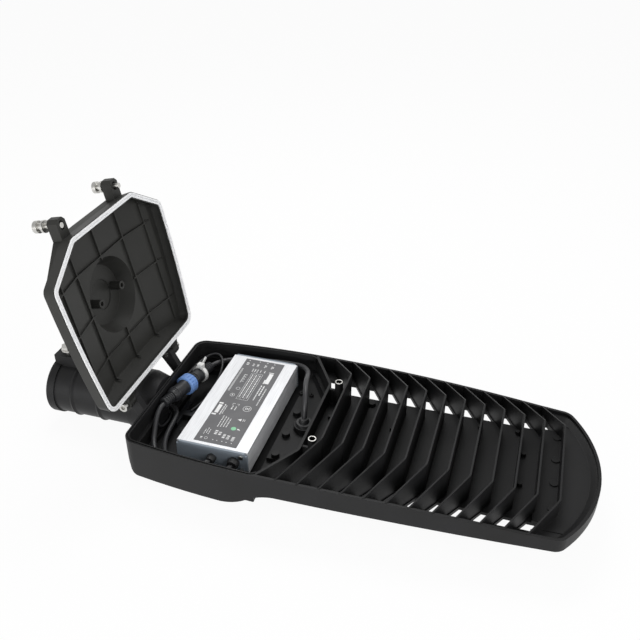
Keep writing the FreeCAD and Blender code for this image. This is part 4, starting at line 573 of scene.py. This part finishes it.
def frame_lines(x0, y0, x1, y1, width):
    """Rectangular outline."""
    x, y = (x0 + x1) / 2, (y0 + y1) / 2
    return [bar(x0, y, width, y1 - y0 + width), bar(x1, y, width, y1 - y0 + width),
            bar(x, y0, x1 - x0 - width, width), bar(x, y1, x1 - x0 - width, width)]


printing = []

# Terminal names at the far end
for x, y in ((5.5, 156.8), (18.9, 157.4), (28.8, 157.4), (38.2, 156.8)):
    printing.append(bar(x, y, 1.4, 1.2))
for seed, (x, y, across) in enumerate((
    (5.4, 149.7, 3.4), (13.1, 149.3, 2.4), (18.7, 149.5, 2.8), (28.6, 149.7, 3.0),
    (37.7, 149.7, 3.4),
)):
    printing += dashes(x - across / 4, y + 2.6, y - 2.6, across / 3, 1.9, seed + 1)
    printing += dashes(x + across / 4, y + 2.2, y - 2.4, across / 3, 1.5, seed + 4)

# Row of ticks along the far half, the blocks and two rings beside it
tick = TICK_START
while tick > TICK_END:
    printing.append(bar(2.9, tick, 2.3, 0.75))
    tick -= TICK_PITCH
for row in range(4):
    printing.append(bar(11.6, 127.3 - 4.4 * row, 3.6, 1.0))
    printing.append(bar(10.1, 125.4 - 4.4 * row, 0.7, 2.4))
printing += ring(12.4, 99.2, 2.1, 0.45)
printing += ring(10.6, 85.8, 2.5, 0.5)
printing.append(bar(10.6, 85.8, 1.2, 2.6))

# Framed table and the lines at its head
printing += frame_lines(17.3, 80.1, 31.4, 132.8, 0.35)
printing += [bar(22, 106.4, 0.3, 52.0), bar(26.6, 106.4, 0.3, 52.0)]
for seed, x in enumerate((19.6, 24.3, 28.9)):
    printing += dashes(x, 130.3, 83.8, 0.9, 3.4, seed + 2)
for seed, x in enumerate((16.2, 19.3, 22.4)):
    printing += dashes(x, 141.4, 135.4, 1.0, 2.0, seed + 5)
printing += dashes(26.4, 140.8, 135.8, 0.9, 2.2, 3)
printing += dashes(31.6, 141.2, 135.6, 0.9, 2.2, 8)

# Large block and the lines beside the table
printing += [bar(41.2, 127, 5.4, 20.6), bar(37.7, 120, 1.4, 8.6), bar(40.4, 139, 6.4, 1.3)]
printing += dashes(37.6, 112.3, 82.8, 1.1, 3.0, 1)
printing += dashes(41, 112.3, 92.8, 1.2, 3.2, 6)
printing += dashes(45, 107.8, 74.8, 0.9, 2.6, 9)

# Block of bars in the near half, with small angles and lines
printing += [bar(4.6, 67.8, 5.0, 2.4), bar(5, 57.4, 4.6, 15.2), bar(3.6, 47, 5.2, 2.4)]
printing += dashes(10.3, 66.8, 47.8, 1.1, 2.6, 4)
printing += dashes(12.6, 64.8, 49.8, 0.8, 2.2, 7)
printing += [bar(18.2, 69.8, 0.5, 3.0), bar(19.6, 71.1, 2.4, 0.5), bar(24.2, 71.1, 2.4, 0.5),
             bar(25.6, 69.8, 0.5, 3.0)]
printing += dashes(19.6, 66.8, 59.8, 1.2, 2.4, 2)
printing += dashes(23.8, 66.2, 58.8, 1.0, 2.4, 5)

# Large ring with bars, and a triangle with bars
printing += ring(37, 65.9, 4.4, 0.6, 40)
printing += [bar(35.3, 65.9, 0.9, 4.2), bar(37.2, 65.9, 1.1, 3.2), bar(39.2, 65.9, 0.8, 4.0)]
printing += [[(33.6, 45.2), (38.2, 43), (38.2, 47.6)], bar(40.4, 45.4, 0.7, 4.6),
             bar(42.2, 45.4, 0.7, 3.4)]

# Lines, dots and terminal names at the near end
for seed, x in enumerate((16.6, 19.8, 23, 26.2)):
    printing += dashes(x, 47.3 - seed, 25.8 + seed, 0.8, 2.4, seed + 3)
printing += [bar(40.8, 29, 2.2, 2.0), bar(42.6, 28.2, 0.8, 1.8)]
printing += dashes(9, 22.8, 12.8, 0.8, 1.9, 4)
printing += dashes(11.6, 20.8, 11.8, 0.7, 1.9, 2)
printing += dashes(6.6, 19.8, 11.2, 0.7, 1.7, 8)
printing += ring(12, 6.1, 1.5, 0.45) + [bar(6.6, 6.4, 2.6, 1.2), bar(6.6, 4.5, 2.0, 0.8)]
for seed, (x, y) in enumerate(((19.2, 18.8), (24, 17.4), (29.9, 15.2), (35, 14.2), (41.1, 13.2))):
    printing += dashes(x, y + 2.4, y - 4.2, 2.4, 1.7, seed + 1)
    printing.append(bar(x + 1.2, 5.4, 1.2, 1.0))

flat_marks("label_printing", printing, INK)
flat_marks("label_indicator_mark", [circle(35.3, 29, 3.0, 24)], GREEN)
